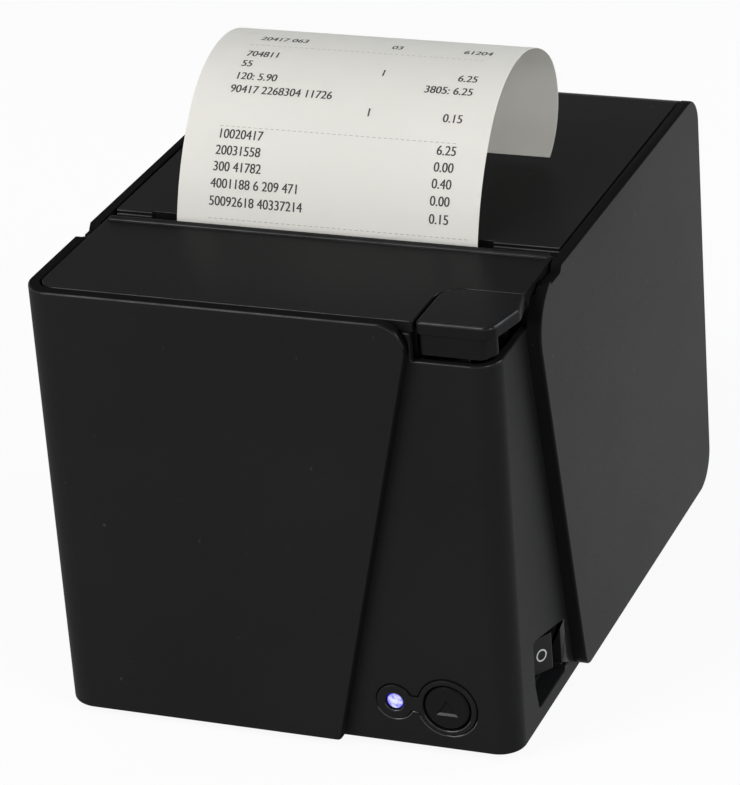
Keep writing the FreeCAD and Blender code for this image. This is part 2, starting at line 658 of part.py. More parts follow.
def lid_inner_frame():
    """Moulded carrier under the lid: side rails, cross members and the platen cheeks."""
    rear = DEPTH - FRAME_REAR
    pieces = []
    low = FIXED_Z + BLADE_T
    across = (PAPER_X - CHEEK_IN - CHEEK_T, PAPER_X + CHEEK_IN + CHEEK_T)
    front_bar = plate("x", [(CROSS_FRONT, low), (CROSS_FRONT, COVER_UNDER), (CROSS_FRONT + 12, COVER_UNDER),
                            (CROSS_FRONT + 9, low, 1.5)], across)
    pieces.append(block(across, (rear - 6, rear), (COVER_UNDER - 5, COVER_UNDER)))
    middle = (CROSS_FRONT + rear) / 2
    pieces.append(block(across, (middle, middle + 3), (COVER_UNDER - 4, COVER_UNDER)))
    for x in both_sides(CHEEK_IN, CHEEK_IN + CHEEK_T):
        pieces.append(block(x, (CROSS_FRONT, rear), (COVER_UNDER - 7, COVER_UNDER)))
        cheek = [(PLATEN_Y - 7.5, PLATEN_Z - 8.0, 6.0), (PLATEN_Y + 8.5, PLATEN_Z - 8.0, 6.0),
                 (PLATEN_Y + 16.0, COVER_UNDER - 7), (PLATEN_Y + 16.0, COVER_UNDER),
                 (CROSS_FRONT, COVER_UNDER), (CROSS_FRONT, low), (PLATEN_Y - 5.2, PLATEN_Z + 6.0)]
        pieces.append(plate("x", cheek, x))
    frame = join(front_bar, *pieces)
    return frame.cut(rod_x((-WIDTH, WIDTH), PLATEN_Y, PLATEN_Z, BUSH_R + 0.02))


# Paper path

def platen_bushes():
    bushes = []
    for x in both_sides(CHEEK_IN - 0.3, CHEEK_IN + CHEEK_T + 0.3):
        bushes.append(rod_x(x, PLATEN_Y, PLATEN_Z, BUSH_R).cut(rod_x(x, PLATEN_Y, PLATEN_Z, SHAFT_R + RUN)))
    return Part.Compound(bushes)


def platen_roller():
    x = (PAPER_X - ROLLER_HALF, PAPER_X + ROLLER_HALF)
    sleeve = rod_x(x, PLATEN_Y, PLATEN_Z, PLATEN_R)
    return sleeve.cut(rod_x(x, PLATEN_Y, PLATEN_Z, SHAFT_R + 0.02))


def platen_shaft():
    left = PAPER_X - GEAR_IN - GEAR_W - 0.5
    right = PAPER_X + HOOK_IN + HOOK_T + 0.8
    return rod_x((left, right), PLATEN_Y, PLATEN_Z, SHAFT_R)


GEAR_X = (PAPER_X - GEAR_IN - GEAR_W, PAPER_X - GEAR_IN)
IDLER_Y = PLATEN_Y
IDLER_Z = PLATEN_Z - MODULE * (PLATEN_TEETH + IDLER_TEETH) / 2
MOTOR_Y, MOTOR_Z = polar(IDLER_Y, IDLER_Z, MODULE * (IDLER_TEETH + MOTOR_TEETH) / 2, MOTOR_BEARING)
PLATEN_TOOTH = -90.0
IDLER_TOOTH = mating_tooth(PLATEN_TEETH, PLATEN_TOOTH, IDLER_TEETH, -90.0)
MOTOR_TOOTH = mating_tooth(IDLER_TEETH, IDLER_TOOTH, MOTOR_TEETH, MOTOR_BEARING)


def platen_gear():
    return gear(PLATEN_TEETH, GEAR_X, PLATEN_Y, PLATEN_Z, PLATEN_TOOTH, SHAFT_R + 0.02)


def idler_gear():
    wheel = gear(IDLER_TEETH, GEAR_X, IDLER_Y, IDLER_Z, IDLER_TOOTH, STUD_R + RUN)
    rim = MODULE * IDLER_TEETH / 2 - 3.0
    face = (GEAR_X[0] - 1, GEAR_X[0] + 1.2)
    hollow = rod_x(face, IDLER_Y, IDLER_Z, rim).cut(rod_x(face, IDLER_Y, IDLER_Z, STUD_R + 2.0))
    return wheel.cut(hollow)


def idler_stud():
    x = (GEAR_X[0] - 0.8, PAPER_X - PLATE_IN)
    stud = rod_x(x, IDLER_Y, IDLER_Z, STUD_R)
    collar = rod_x((GEAR_X[1] + GAP, PAPER_X - PLATE_IN - PLATE_T), IDLER_Y, IDLER_Z, STUD_R + 1.5)
    return join(stud, collar)


def motor_pinion():
    wheel = gear(MOTOR_TEETH, GEAR_X, MOTOR_Y, MOTOR_Z, MOTOR_TOOTH, 1.0)
    return join(wheel, rod_x((GEAR_X[0] - 0.5, PAPER_X - PLATE_IN - 0.4), MOTOR_Y, MOTOR_Z, 1.5))


def feed_motor():
    face = PAPER_X - PLATE_IN
    can = rod_x((face + 0.05, face + MOTOR_L), MOTOR_Y, MOTOR_Z, MOTOR_R)
    reach = MOTOR_R + 4.0
    ears = plate("x", rectangle((MOTOR_Y - reach, MOTOR_Y + reach), (MOTOR_Z - 3.5, MOTOR_Z + 3.5), 3.4),
                 (face + 0.05, face + 1.2))
    return join(can, ears).cut(rod_x((face - 1, face + 3), MOTOR_Y, MOTOR_Z, 3.0))


def web_line():
    """Straight run of the paper from platen to roll: its bearing from upright and its length."""
    wrap = PLATEN_R + GAP + PAPER_T / 2
    roll = ROLL_R + GAP + PAPER_T / 2
    dy = BAY_Y - PLATEN_Y
    dz = ROLL_Z - PLATEN_Z
    span = math.hypot(dy, dz)
    spread = math.asin((roll - wrap) / span)
    heading = 90.0 - math.degrees(math.atan2(dz, dy) - spread)
    return heading, math.sqrt(span ** 2 - (roll - wrap) ** 2), wrap


def paper_web():
    heading, run, wrap = web_line()
    x = (PAPER_X - PAPER_W / 2, PAPER_X + PAPER_W / 2)
    bends = [(None, WEB_TOP - PLATEN_Z), (wrap, heading - 180.0), (None, run)]
    return ribbon((PAPER_Y, WEB_TOP), 180.0, bends, PAPER_T, x)


def receipt():
    x = (PAPER_X - PAPER_W / 2, PAPER_X + PAPER_W / 2)
    upright = HEIGHT - RECEIPT_FOOT - RECEIPT_LEAN_R * math.sin(math.radians(RECEIPT_LEAN))
    bends = [(None, upright), (RECEIPT_LEAN_R, RECEIPT_LEAN), RECEIPT_RISE, RECEIPT_CROWN, RECEIPT_CURL]
    return ribbon((PAPER_Y, RECEIPT_FOOT), 0.0, bends, PAPER_T, x)


def paper_roll():
    x = (PAPER_X - PAPER_W / 2, PAPER_X + PAPER_W / 2)
    return rod_x(x, BAY_Y, ROLL_Z, ROLL_R).cut(rod_x(x, BAY_Y, ROLL_Z, CORE_R + 0.02))


def roll_core():
    x = (PAPER_X - PAPER_W / 2, PAPER_X + PAPER_W / 2)
    return rod_x(x, BAY_Y, ROLL_Z, CORE_R).cut(rod_x(x, BAY_Y, ROLL_Z, CORE_R - CORE_T))


def roll_bucket():
    """Trough for the roll, with a ramp in front that leads the paper up to the platen."""
    heading, run, wrap = web_line()
    fall = math.tan(math.radians(180.0 - heading))
    ramp_top = HEIGHT - RAMP_DROP
    lean = math.cos(math.radians(180.0 - heading))
    at_axis = PLATEN_Y - (wrap + PAPER_T / 2 + RAMP_GAP) / lean
    front_top = at_axis + (PLATEN_Z - ramp_top) * fall
    front_foot = at_axis + (PLATEN_Z - BAY_FLOOR) * fall
    rear = BAY_Y + BAY_R
    inner = [(front_top, ramp_top), (front_foot, BAY_FLOOR, BAY_R * 0.5), (rear, BAY_FLOOR, BAY_R),
             (rear, ramp_top)]
    t = BUCKET_T
    outer = [(front_top - t / lean, ramp_top),
             (front_foot - t / lean - t * fall, BAY_FLOOR - t, BAY_R * 0.5 + t),
             (rear + t, BAY_FLOOR - t, BAY_R + t), (rear + t, ramp_top)]
    half = ROLLER_HALF + t
    bucket = plate("x", outer, (PAPER_X - half, PAPER_X + half))
    bucket = bucket.cut(plate("x", inner, (PAPER_X - ROLLER_HALF, PAPER_X + ROLLER_HALF)))
    legs = []
    beside = max(half, MAIN_X[1] - PAPER_X + GAP)    # the legs stand beside the main board
    for ahead in BUCKET_LEG_Y:
        y = (BAY_Y + ahead, BAY_Y + ahead + BUCKET_LEG[1])
        for x in both_sides(beside, beside + BUCKET_LEG[0]):
            legs.append(block(x, y, (FLOOR_TOP, BAY_FLOOR + 24)))
        for x in both_sides(half - 0.5, beside + 0.5):
            legs.append(block(x, y, (BAY_FLOOR + 10, BAY_FLOOR + 24)))
    return join(bucket, *legs)


def near_end_sensor():
    x = (PAPER_X + ROLLER_HALF + BUCKET_T, PAPER_X + ROLLER_HALF + BUCKET_T + 4.5)
    return block(x, (BAY_Y - 8, BAY_Y + 4), (BAY_FLOOR + 8, BAY_FLOOR + 18))


# Sheet-metal chassis and print head

def mech_frame():
    """Sheet-metal chassis: two upright plates, a front web and feet turned outwards."""
    top = HEIGHT - 4.5
    under_lever = LEDGE_Z - 7.2
    foot = FRAME_FOOT_Y
    corners = [(FRAME_FRONT, 44.0), (FRAME_FRONT, under_lever, 3.0), (LEVER_Y[1], under_lever), (31.0, top),
               (48.6, top), (foot[1] + 2, PLATEN_Z + 5.0, 3.0), (foot[1] + 2, 40.0), (foot[1], FLOOR_TOP),
               (foot[0], FLOOR_TOP), (foot[0], 44.0)]
    slot = [(PLATEN_Y - SHAFT_R - 0.5, PLATEN_Z - SHAFT_R - 0.5, 3.4),
            (PLATEN_Y + SHAFT_R + 0.5, PLATEN_Z - SHAFT_R - 0.5, 3.4),
            (PLATEN_Y + SHAFT_R + 3.0, top + 2), (PLATEN_Y - SHAFT_R - 0.5, top + 2)]
    pieces = []
    for x in both_sides(PLATE_IN, PLATE_IN + PLATE_T):
        pieces.append(plate("x", corners, x).cut(plate("x", slot, x)))
    for x in both_sides(PLATE_IN + PLATE_T - 0.2, PLATE_IN + FRAME_FOOT_X):
        pieces.append(block(x, FRAME_FOOT_Y, (FLOOR_TOP, FLOOR_TOP + PLATE_T)))
    across = (PAPER_X - PLATE_IN - PLATE_T, PAPER_X + PLATE_IN + PLATE_T)
    web_z = (47.0, under_lever - 3.0)
    web = plate("y", rectangle(across, web_z, 0), (FRAME_FRONT, FRAME_FRONT + PLATE_T))
    window = rectangle((PAPER_X - 26, PAPER_X + 26), (web_z[0] + 9, web_z[1] - 9), 5.0)
    web = web.cut(plate("y", window, (FRAME_FRONT - 1, FRAME_FRONT + 3)))
    frame = join(web, *pieces)
    bores = [(LATCH_Y, LATCH_Z, LATCH_R + RUN), (CUTTER_Y, CUTTER_Z, CUTTER_R + RUN),
             (HEAD_PIVOT_Y, HEAD_PIVOT_Z, HEAD_PIN_R + RUN)]
    for y, z, radius in bores:
        frame = frame.cut(rod_x((-WIDTH, WIDTH), y, z, radius))
    frame = frame.cut(rod_x((-WIDTH, PAPER_X), MOTOR_Y, MOTOR_Z, 3.0))
    frame = frame.cut(rod_x((-WIDTH, PAPER_X), IDLER_Y, IDLER_Z, STUD_R))
    frame = frame.cut(rod_x((PAPER_X, CASE_X), LEVER_PIVOT_Y, LEVER_PIVOT_Z, LEVER_PIN_R))
    for x, y in frame_screw_spots():
        frame = frame.cut(hex_z(x, y, (0, 6), SCREW_R))
    return frame


def frame_screw_spots():
    reach = PLATE_IN + (PLATE_T + FRAME_FOOT_X) / 2 + 0.4
    low, high = FRAME_FOOT_Y
    return [(PAPER_X + side * reach, y) for side in (-1, 1) for y in (low + 3.5, high - 3.5)]


def frame_screws():
    screws = []
    top = FLOOR_TOP + PLATE_T
    for x, y in frame_screw_spots():
        shank = hex_z(x, y, (FLOOR_TOP, top), SCREW_R - 0.05)
        screws.append(join(shank, hex_z(x, y, (top, top + 1.4), 2.5)))
    return Part.Compound(screws)


def head_heatsink():
    y = (HEAD_FACE - CERAMIC_T - HEAD_T, HEAD_FACE - CERAMIC_T)
    x = (PAPER_X - ROLLER_HALF, PAPER_X + ROLLER_HALF)
    body = block(x, y, (HEAD_PIVOT_Z - 2.0, BLADE_Z - 0.9))
    for step in range(-3, 4):
        groove = PAPER_X + step * 11.0
        body = body.cut(block((groove - 1.5, groove + 1.5), (y[0] - 1, y[0] + 1.2), (PLATEN_Z + 1, HEIGHT)))
    reach = PLATE_IN + PLATE_T + 0.4
    return join(body, rod_x((PAPER_X - reach, PAPER_X + reach), HEAD_PIVOT_Y, HEAD_PIVOT_Z, HEAD_PIN_R))


def head_ceramic():
    x = (PAPER_X - ROLLER_HALF + 0.5, PAPER_X + ROLLER_HALF - 0.5)
    return block(x, (HEAD_FACE - CERAMIC_T, HEAD_FACE), (PLATEN_Z - 7.0, PLATEN_Z + 5.0))


def head_crossbar():
    x = (PAPER_X - PLATE_IN + 0.05, PAPER_X + PLATE_IN - 0.05)
    return block(x, BAR_Y, (PLATEN_Z - 9.0, PLATEN_Z + 4.0))


def head_springs():
    """Two bowed leaf springs between the crossbar and the print head."""
    leaves = []
    room = HEAD_FACE - CERAMIC_T - HEAD_T - BAR_Y[1] - 0.6
    rise = 4.0
    radius = (rise ** 2 + room ** 2) / (2 * room)
    sweep = 2 * math.degrees(math.asin(rise / radius))
    thick = 0.4
    seat = BAR_Y[1] + thick / 2 * math.cos(math.radians(sweep / 2)) + 0.01
    for x in (PAPER_X - LEAF_X, PAPER_X + LEAF_X):
        foot = (seat, PLATEN_Z - 2.5 - rise)
        leaves.append(ribbon(foot, sweep / 2, [(radius, -sweep)], thick, (x - 5, x + 5)))
    return Part.Compound(leaves)


# Cutter

CUTTER_Z = BLADE_Z - RACK_BASE - DEDENDUM * MODULE - MODULE * CUTTER_TEETH / 2
CUTTER_REACH = MODULE * (CUTTER_TEETH + CUTTER_MOTOR_TEETH) / 2
CUTTER_MOTOR_Y, CUTTER_MOTOR_Z = polar(CUTTER_Y, CUTTER_Z, CUTTER_REACH, CUTTER_MOTOR_BEARING)
CUTTER_TOOTH = 90.0
CUTTER_MOTOR_TOOTH = mating_tooth(CUTTER_TEETH, CUTTER_TOOTH, CUTTER_MOTOR_TEETH, CUTTER_MOTOR_BEARING)


def moving_blade():
    low, high = PAPER_X - BLADE_HALF, PAPER_X + BLADE_HALF
    plan = [(low, RACK_Y[0] + 1), (high, RACK_Y[0] + 1), (high, BLADE_EDGE),
            (PAPER_X, BLADE_EDGE - BLADE_VEE), (low, BLADE_EDGE)]
    return plate("z", plan, (BLADE_Z, BLADE_Z + BLADE_T))


def blade_racks():
    """Toothed strips under the moving blade; a tooth space lies over the pinion shaft."""
    racks = []
    pitch = math.pi * MODULE
    root = BLADE_Z - RACK_BASE
    middle = root - DEDENDUM * MODULE
    tip = middle - ADDENDUM * MODULE
    lean = math.tan(math.radians(PRESSURE_ANGLE))
    half = pitch / 4 - BACKLASH / 2
    first = math.ceil((RACK_Y[0] + half * 2 - CUTTER_Y) / pitch - 0.5)
    last = math.floor((RACK_Y[1] - half * 2 - CUTTER_Y) / pitch - 0.5)
    profile = [(RACK_Y[0], BLADE_Z), (RACK_Y[0], root)]
    for tooth in range(first, last + 1):
        y = CUTTER_Y + (tooth + 0.5) * pitch
        profile.append((y - half - (root - middle) * lean, root))
        profile.append((y - half + (middle - tip) * lean, tip))
        profile.append((y + half - (middle - tip) * lean, tip))
        profile.append((y + half + (root - middle) * lean, root))
    profile += [(RACK_Y[1], root), (RACK_Y[1], BLADE_Z)]
    for x in (PAPER_X - RACK_X, PAPER_X + RACK_X):
        racks.append(plate("x", profile, (x - RACK_W / 2, x + RACK_W / 2)))
    return Part.Compound(racks)


def cutter_shaft():
    reach = PLATE_IN + PLATE_T + 0.4
    return rod_x((PAPER_X - reach, PAPER_X + reach), CUTTER_Y, CUTTER_Z, CUTTER_R)


def cutter_pinions():
    pinions = []
    for x in (PAPER_X - RACK_X, PAPER_X + RACK_X):
        span = (x - RACK_W / 2, x + RACK_W / 2)
        pinions.append(gear(CUTTER_TEETH, span, CUTTER_Y, CUTTER_Z, CUTTER_TOOTH, CUTTER_R + 0.02))
    return Part.Compound(pinions)


def cutter_motor_pinion():
    x = (PAPER_X + RACK_X - RACK_W / 2, PAPER_X + RACK_X + RACK_W / 2)
    wheel = gear(CUTTER_MOTOR_TEETH, x, CUTTER_MOTOR_Y, CUTTER_MOTOR_Z, CUTTER_MOTOR_TOOTH, 0.8)
    return join(wheel, rod_x((x[0] - 1.2, x[1] + 0.5), CUTTER_MOTOR_Y, CUTTER_MOTOR_Z, 1.0))


def cutter_motor():
    x = (PAPER_X + 4.0, PAPER_X + RACK_X - RACK_W / 2 - 1.5)
    can = rod_x(x, CUTTER_MOTOR_Y, CUTTER_MOTOR_Z, CUTTER_MOTOR_R)
    strap_z = (PLATEN_Z - 9.0, PLATEN_Z - 5.0)
    strap = block((x[0] + 4, x[1] - 6), (CUTTER_MOTOR_Y, BAR_Y[0]), strap_z)
    return join(can, strap)


def cutter_guide():
    """Channel plate over the moving blade, with grooves for the blade's two edges."""
    y = (LEVER_Y[1] + 0.8, BLADE_EDGE - 3.8)
    across = (PAPER_X - PLATE_IN + 0.05, PAPER_X + PLATE_IN - 0.05)
    low = BLADE_Z - GAP - 1.2
    guide = block(across, y, (low, FIXED_Z + 1.2))
    inside = (PAPER_X - BLADE_HALF - GAP, PAPER_X + BLADE_HALF + GAP)
    guide = guide.cut(block(inside, (0, DEPTH), (BLADE_Z - GAP, FIXED_Z)))
    open_x = (PAPER_X - BLADE_HALF + 1.5, PAPER_X + BLADE_HALF - 1.5)
    guide = guide.cut(block(open_x, (0, DEPTH), (0, BLADE_Z)))
    half = BLADE_HALF * 0.3
    for x in (PAPER_X - BLADE_HALF / 2, PAPER_X + BLADE_HALF / 2):
        guide = guide.cut(plate("z", rectangle((x - half, x + half), (y[0] + 4, y[1] - 4)), (0, HEIGHT)))
    return guide


def fixed_blade():
    x = (PAPER_X - CHEEK_IN, PAPER_X + CHEEK_IN)
    return block(x, (PAPER_Y + PAPER_T / 2 + 0.6, PAPER_Y + 11.0), (FIXED_Z, FIXED_Z + BLADE_T))


# Lid release

def lever_plan(inset):
    """Plan of the thumb lever, whose right edge swells out over the column's side."""
    left, right = LEVER_X[0] + inset, LEVER_X[1] - inset
    front, rear = LEVER_Y[0] + inset, LEVER_Y[1] - inset
    return [(left, front, 1.2), (left, rear, 5.0), (right + LEVER_FLARE * 0.45, rear, 1.0),
            (right + LEVER_FLARE, LEVER_WAIST, 4.0), (right, front, 3.0)]


def skirt_plan(inset):
    """Plan of the skirt under the pad, whose right wall leans in out of sight."""
    left, right = LEVER_X[0] + inset, LEVER_X[1] - inset
    front, rear = LEVER_Y[0] + inset, LEVER_Y[1] - inset
    return [(left, front, 1.2), (left, rear, 5.0 - inset), (right - LEVER_HEEL, rear, 1.0),
            (right + 0.3, front + 4.4, 2.0), (right - 2.2, front, 1.8)]


def open_lever():
    """Thumb lever: lipped pad over a hollow skirt, arm to the pivot and a finger for the latch."""
    pad = plate("z", lever_plan(0), (LEVER_BROW, LEVER_TOP))

    def upper_edge(edge):
        return edge.BoundBox.ZMin > LEVER_TOP - 0.01

    pad = bevelled_edges(pad, 0.5, upper_edge)
    skirt_z = (LEDGE_Z + LEVER_LIFT, LEVER_BROW + 0.5)
    skirt = plate("z", skirt_plan(LEVER_INSET), skirt_z)
    skirt = skirt.cut(plate("z", skirt_plan(LEVER_INSET + LEVER_WALL), skirt_z))
    arm_y = LEVER_Y[1] - LEVER_INSET - 1.0
    arm_low = LEVER_PIVOT_Z - 3.2
    arm = block(ARM_X, (arm_y, LEVER_PIVOT_Y), (arm_low, arm_low + 6.4))
    hub = rod_x(ARM_X, LEVER_PIVOT_Y, LEVER_PIVOT_Z, 3.2)
    finger_y = (LATCH_TIP_Y - 1.5, LATCH_TIP_Y + 1.5)
    finger = block((ARM_X[0] + 1, ARM_X[1] - 1), finger_y, (LATCH_TOP + 0.4, arm_low + 1))
    lever = join(pad, skirt, arm, hub, finger)
    return lever.cut(rod_x((0, WIDTH), LEVER_PIVOT_Y, LEVER_PIVOT_Z, LEVER_PIN_R + RUN))


def lever_pin():
    x = (PAPER_X + PLATE_IN, CASE_IN + 0.2)
    return rod_x(x, LEVER_PIVOT_Y, LEVER_PIVOT_Z, LEVER_PIN_R - 0.01)


def latch_shaft():
    return rod_x((PAPER_X - HOOK_IN - HOOK_T - 0.5, ARM_X[1]), LATCH_Y, LATCH_Z, LATCH_R)


def latch_hooks():
    """A hook at each end of the platen; its nose lies over the platen shaft."""
    hooks = []
    nose_y = PLATEN_Y - SHAFT_R + HOOK_BITE
    under = PLATEN_Z + math.sqrt(SHAFT_R ** 2 - (SHAFT_R - HOOK_BITE) ** 2) + 0.5
    inner_y = PLATEN_Y - SHAFT_R - 0.6
    corners = [(LATCH_Y - 3.5, LATCH_Z + 1.0), (inner_y - 5.0, under + 2.6, 2.0),
               (nose_y, under + 2.6, 1.0), (nose_y, under, 0.3), (inner_y, under, 0.4),
               (inner_y - 1.0, PLATEN_Z), (LATCH_Y + 3.5, LATCH_Z - 1.0)]
    for x in both_sides(HOOK_IN, HOOK_IN + HOOK_T):
        hook = join(plate("x", corners, x), rod_x(x, LATCH_Y, LATCH_Z, 4.0))
        hooks.append(hook.cut(rod_x(x, LATCH_Y, LATCH_Z, LATCH_R + 0.01)))
    return Part.Compound(hooks)


def latch_arm():
    x = (ARM_X[0] + 1, ARM_X[1] - 1)
    corners = [(LATCH_Y + 3.0, LATCH_Z - 2.0), (LATCH_Y + 2.0, LATCH_Z + 3.5),
               (LATCH_TIP_Y + 5.0, LATCH_TOP, 2.0), (LATCH_TIP_Y - 2.5, LATCH_TOP, 1.0),
               (LATCH_TIP_Y - 2.5, LATCH_TOP - 4.0, 1.0), (LATCH_Y - 3.5, LATCH_Z)]
    arm = join(plate("x", corners, x), rod_x(x, LATCH_Y, LATCH_Z, 4.0))
    return arm.cut(rod_x(x, LATCH_Y, LATCH_Z, LATCH_R + 0.01))


def latch_spring():
    """Torsion spring wound round the latch shaft, with one end against the chassis."""
    high = PAPER_X + PLATE_IN - SPRING_WIRE / 2 * math.sin(2 * math.pi / SPRING_SIDES)
    steps = 8 * SPRING_TURNS
    points = []
    for step in range(steps + 1):
        angle = 2 * math.pi * SPRING_TURNS * step / steps
        x = high - SPRING_L * step / steps
        points.append(vec(x, LATCH_Y + SPRING_R * math.cos(angle), LATCH_Z + SPRING_R * math.sin(angle)))
    apart = [points[i].distanceToPoint(points[k]) for i in range(steps) for k in range(i + 5, steps + 1)]
    print("latch spring: least gap to itself", round(min(apart) - SPRING_WIRE, 2))
    edges = [Part.Arc(points[i], points[i + 1], points[i + 2]).toShape() for i in range(0, steps, 2)]
    path = Part.Wire(edges)
    section = []
    for corner in range(SPRING_SIDES + 1):
        angle = 2 * math.pi * corner / SPRING_SIDES
        out = SPRING_R + SPRING_WIRE / 2 * math.cos(angle)
        section.append(vec(high + SPRING_WIRE / 2 * math.sin(angle), LATCH_Y + out, LATCH_Z))
    return path.makePipeShell([Part.makePolygon(section)], True, False)


# Controls

def control_bezel():
    body = bezel_outline(0, (FRONT_T - BEZEL_PROUD, FRONT_T + CASE_T))
    back = FRONT_T + CASE_T
    catch = (back, back + 1.0)
    reach = BEZEL_BUTTON_R + 0.9
    along = block((LED_X - BEZEL_LED_R - 1.4, BUTTON_X), catch, (CONTROL_Z - 3, CONTROL_Z + 3))
    up = block((BUTTON_X - 3, BUTTON_X + 3), catch, (CONTROL_Z - reach, CONTROL_Z + reach))
    bezel = join(body, along, up)
    bezel = bezel.cut(rod_y(BUTTON_X, (0, 20), CONTROL_Z, BUTTON_R + BUTTON_GAP))
    return bezel.cut(rod_y(LED_X, (0, 20), CONTROL_Z, LED_R + 0.05))


def feed_button():
    back = FRONT_T + CASE_T + 1.0
    cap = rod_y(BUTTON_X, (FRONT_T - BUTTON_PROUD, back + 1.0), CONTROL_Z, BUTTON_R)

    def front_edge(edge):
        return edge.BoundBox.YMax < FRONT_T - BUTTON_PROUD + 0.01

    cap = bevelled_edges(cap, 0.5, front_edge)
    flange = rod_y(BUTTON_X, (back + GAP, back + GAP + 1.2), CONTROL_Z, BUTTON_R + 1.2)
    return join(cap, flange)


def led_lens():
    stem = rod_y(LED_X, (FRONT_T - 0.2, BOARD_FRONT - GAP), CONTROL_Z, LED_R)

    def front_edge(edge):
        return edge.BoundBox.YMax < FRONT_T

    return rounded_edges(stem, 1.2, front_edge)


def control_board():
    return block(BOARD_X, (BOARD_FRONT, BOARD_FRONT + BOARD_T), BOARD_Z)


def tact_switch():
    z = (CONTROL_Z - 3, CONTROL_Z + 3)
    body = block((BUTTON_X - 3, BUTTON_X + 3), (BOARD_FRONT - 3.0, BOARD_FRONT), z)
    return join(body, rod_y(BUTTON_X, (BOARD_FRONT - 3.8, BOARD_FRONT - 2.5), CONTROL_Z, 1.7))


def switch_block(x, half_y, half_z):
    """Box round the middle of the switch."""
    return block(x, (SWITCH_Y - half_y, SWITCH_Y + half_y), (SWITCH_Z - half_z, SWITCH_Z + half_z))


def rocker_axis():
    """X of the upright axis that the rocker tips about."""
    return CASE_X - POCKET_DEPTH - ROCKER_SUNK


def power_switch_body():
    floor = CASE_X - POCKET_DEPTH
    half_y, half_z, thick = SWITCH_FRAME
    frame = rectangle((SWITCH_Y - half_y, SWITCH_Y + half_y), (SWITCH_Z - half_z, SWITCH_Z + half_z), 1.2)
    flange = plate("x", frame, (floor, floor + thick))
    body = switch_block((floor - SWITCH_BODY[2], floor), SWITCH_BODY[0], SWITCH_BODY[1])
    well = switch_block((floor - 6.0, floor + thick), SWITCH_MOUTH[0], SWITCH_MOUTH[1])
    pin_z = (SWITCH_Z - SWITCH_MOUTH[1] - 0.6, SWITCH_Z + SWITCH_MOUTH[1] + 0.6)
    seat = rod_z(rocker_axis(), SWITCH_Y, pin_z, ROCKER_PIN_R + RUN)
    back = floor - SWITCH_BODY[2]
    terminals = []
    for y in (SWITCH_Y - 5.0, SWITCH_Y + 5.0):
        terminals.append(block((back - 3.5, back + 0.5), (y - 0.4, y + 0.4), (SWITCH_Z - 2, SWITCH_Z + 2)))
    return join(join(flange, body).cut(well).cut(seat), *terminals)


def power_rocker():
    """Vee-faced rocker on an upright axis, tipped at rest so that its rear half stands out."""
    axis = rocker_axis()
    half, tall = ROCKER_HALF
    rear = [ROCKER_CREST + (0.8,), (2.6, half, 0.6), (0.0, half - 0.4, 0), (-2.6, half - 4.0, 0)]
    profile = [(1.7, 0)] + rear + [(out, -along, radius) for out, along, radius in reversed(rear)]
    corners = [(axis + out, SWITCH_Y + along) + tuple(radius) for out, along, *radius in profile]
    rocker = plate("z", corners, (SWITCH_Z - tall, SWITCH_Z + tall))
    pin_z = (SWITCH_Z - SWITCH_MOUTH[1] - 0.5, SWITCH_Z + SWITCH_MOUTH[1] + 0.5)
    rocker = join(rocker, rod_z(axis, SWITCH_Y, pin_z, ROCKER_PIN_R))
    rocker.rotate(vec(axis, SWITCH_Y, 0), vec(0, 0, 1), -ROCKER_TILT)
    return rocker


# Base and electronics

def foot_spots():
    x = CASE_IN - 12.0
    return [(-x, TRAY_FRONT + 20), (x, TRAY_FRONT + 20), (-x, TRAY_REAR - 20), (x, TRAY_REAR - 20)]


def main_board_y():
    return (CASE_REAR - MAIN_AHEAD, CASE_REAR - 1.2)


def standoff_spots():
    y = main_board_y()
    return [(x, at) for x in (MAIN_X[0] + 4, MAIN_X[1] - 4) for at in (y[0] + 4, y[0] + 66)]


def base_tray():
    half = CASE_IN - GAP
    corner = COLUMN_CORNER - CASE_T
    plan = [(-half, TRAY_FRONT, 3.0), (half, TRAY_FRONT, corner), (half, TRAY_REAR), (-half, TRAY_REAR)]
    tray = plate("z", plan, (CASE_FOOT, FLOOR_TOP))
    posts = []
    for x, y in standoff_spots():
        posts.append(block((x - 2.5, x + 2.5), (y - 2.5, y + 2.5), (FLOOR_TOP - 0.5, BOARD_LEVEL)))
    tray = join(tray, *posts)
    for x, y in foot_spots():
        tray = tray.cut(rod_z(x, y, (0, CASE_FOOT + FOOT_INSET), FOOT_R + 0.2))
    for x, y in screw_spots():
        tray = tray.cut(hex_z(x, y, (0, FLOOR_TOP + 1), SCREW_R + 0.2))
        tray = tray.cut(hex_z(x, y, (0, CASE_FOOT + 0.8), SCREW_HEAD_R + 0.3))
    for row in range(9):
        x = (row - 4) * 6.0
        vent = rectangle((x - 1.2, x + 1.2), (70.0, 92.0))
        tray = tray.cut(plate("z", vent, (0, FLOOR_TOP + 1)))
    return tray


def rubber_feet():
    feet = []
    for x, y in foot_spots():
        tall = FOOT_DROP + CASE_FOOT + FOOT_INSET
        feet.append(Part.makeCone(FOOT_R - 0.8, FOOT_R, tall, vec(x, y, -FOOT_DROP)))
    return Part.Compound(feet)


def case_screws():
    screws = []
    for x, y in screw_spots():
        shank = hex_z(x, y, (CASE_FOOT, CORNER_TOP - 3), SCREW_R - 0.05)
        screws.append(join(shank, hex_z(x, y, (CASE_FOOT, CASE_FOOT + 0.8), SCREW_HEAD_R)))
    return Part.Compound(screws)


def port_body(size):
    x, width, height, depth = size
    base = BOARD_LEVEL + BOARD_T
    return block((x - width / 2, x + width / 2), (PORT_FACE - depth, PORT_FACE), (base, base + height))


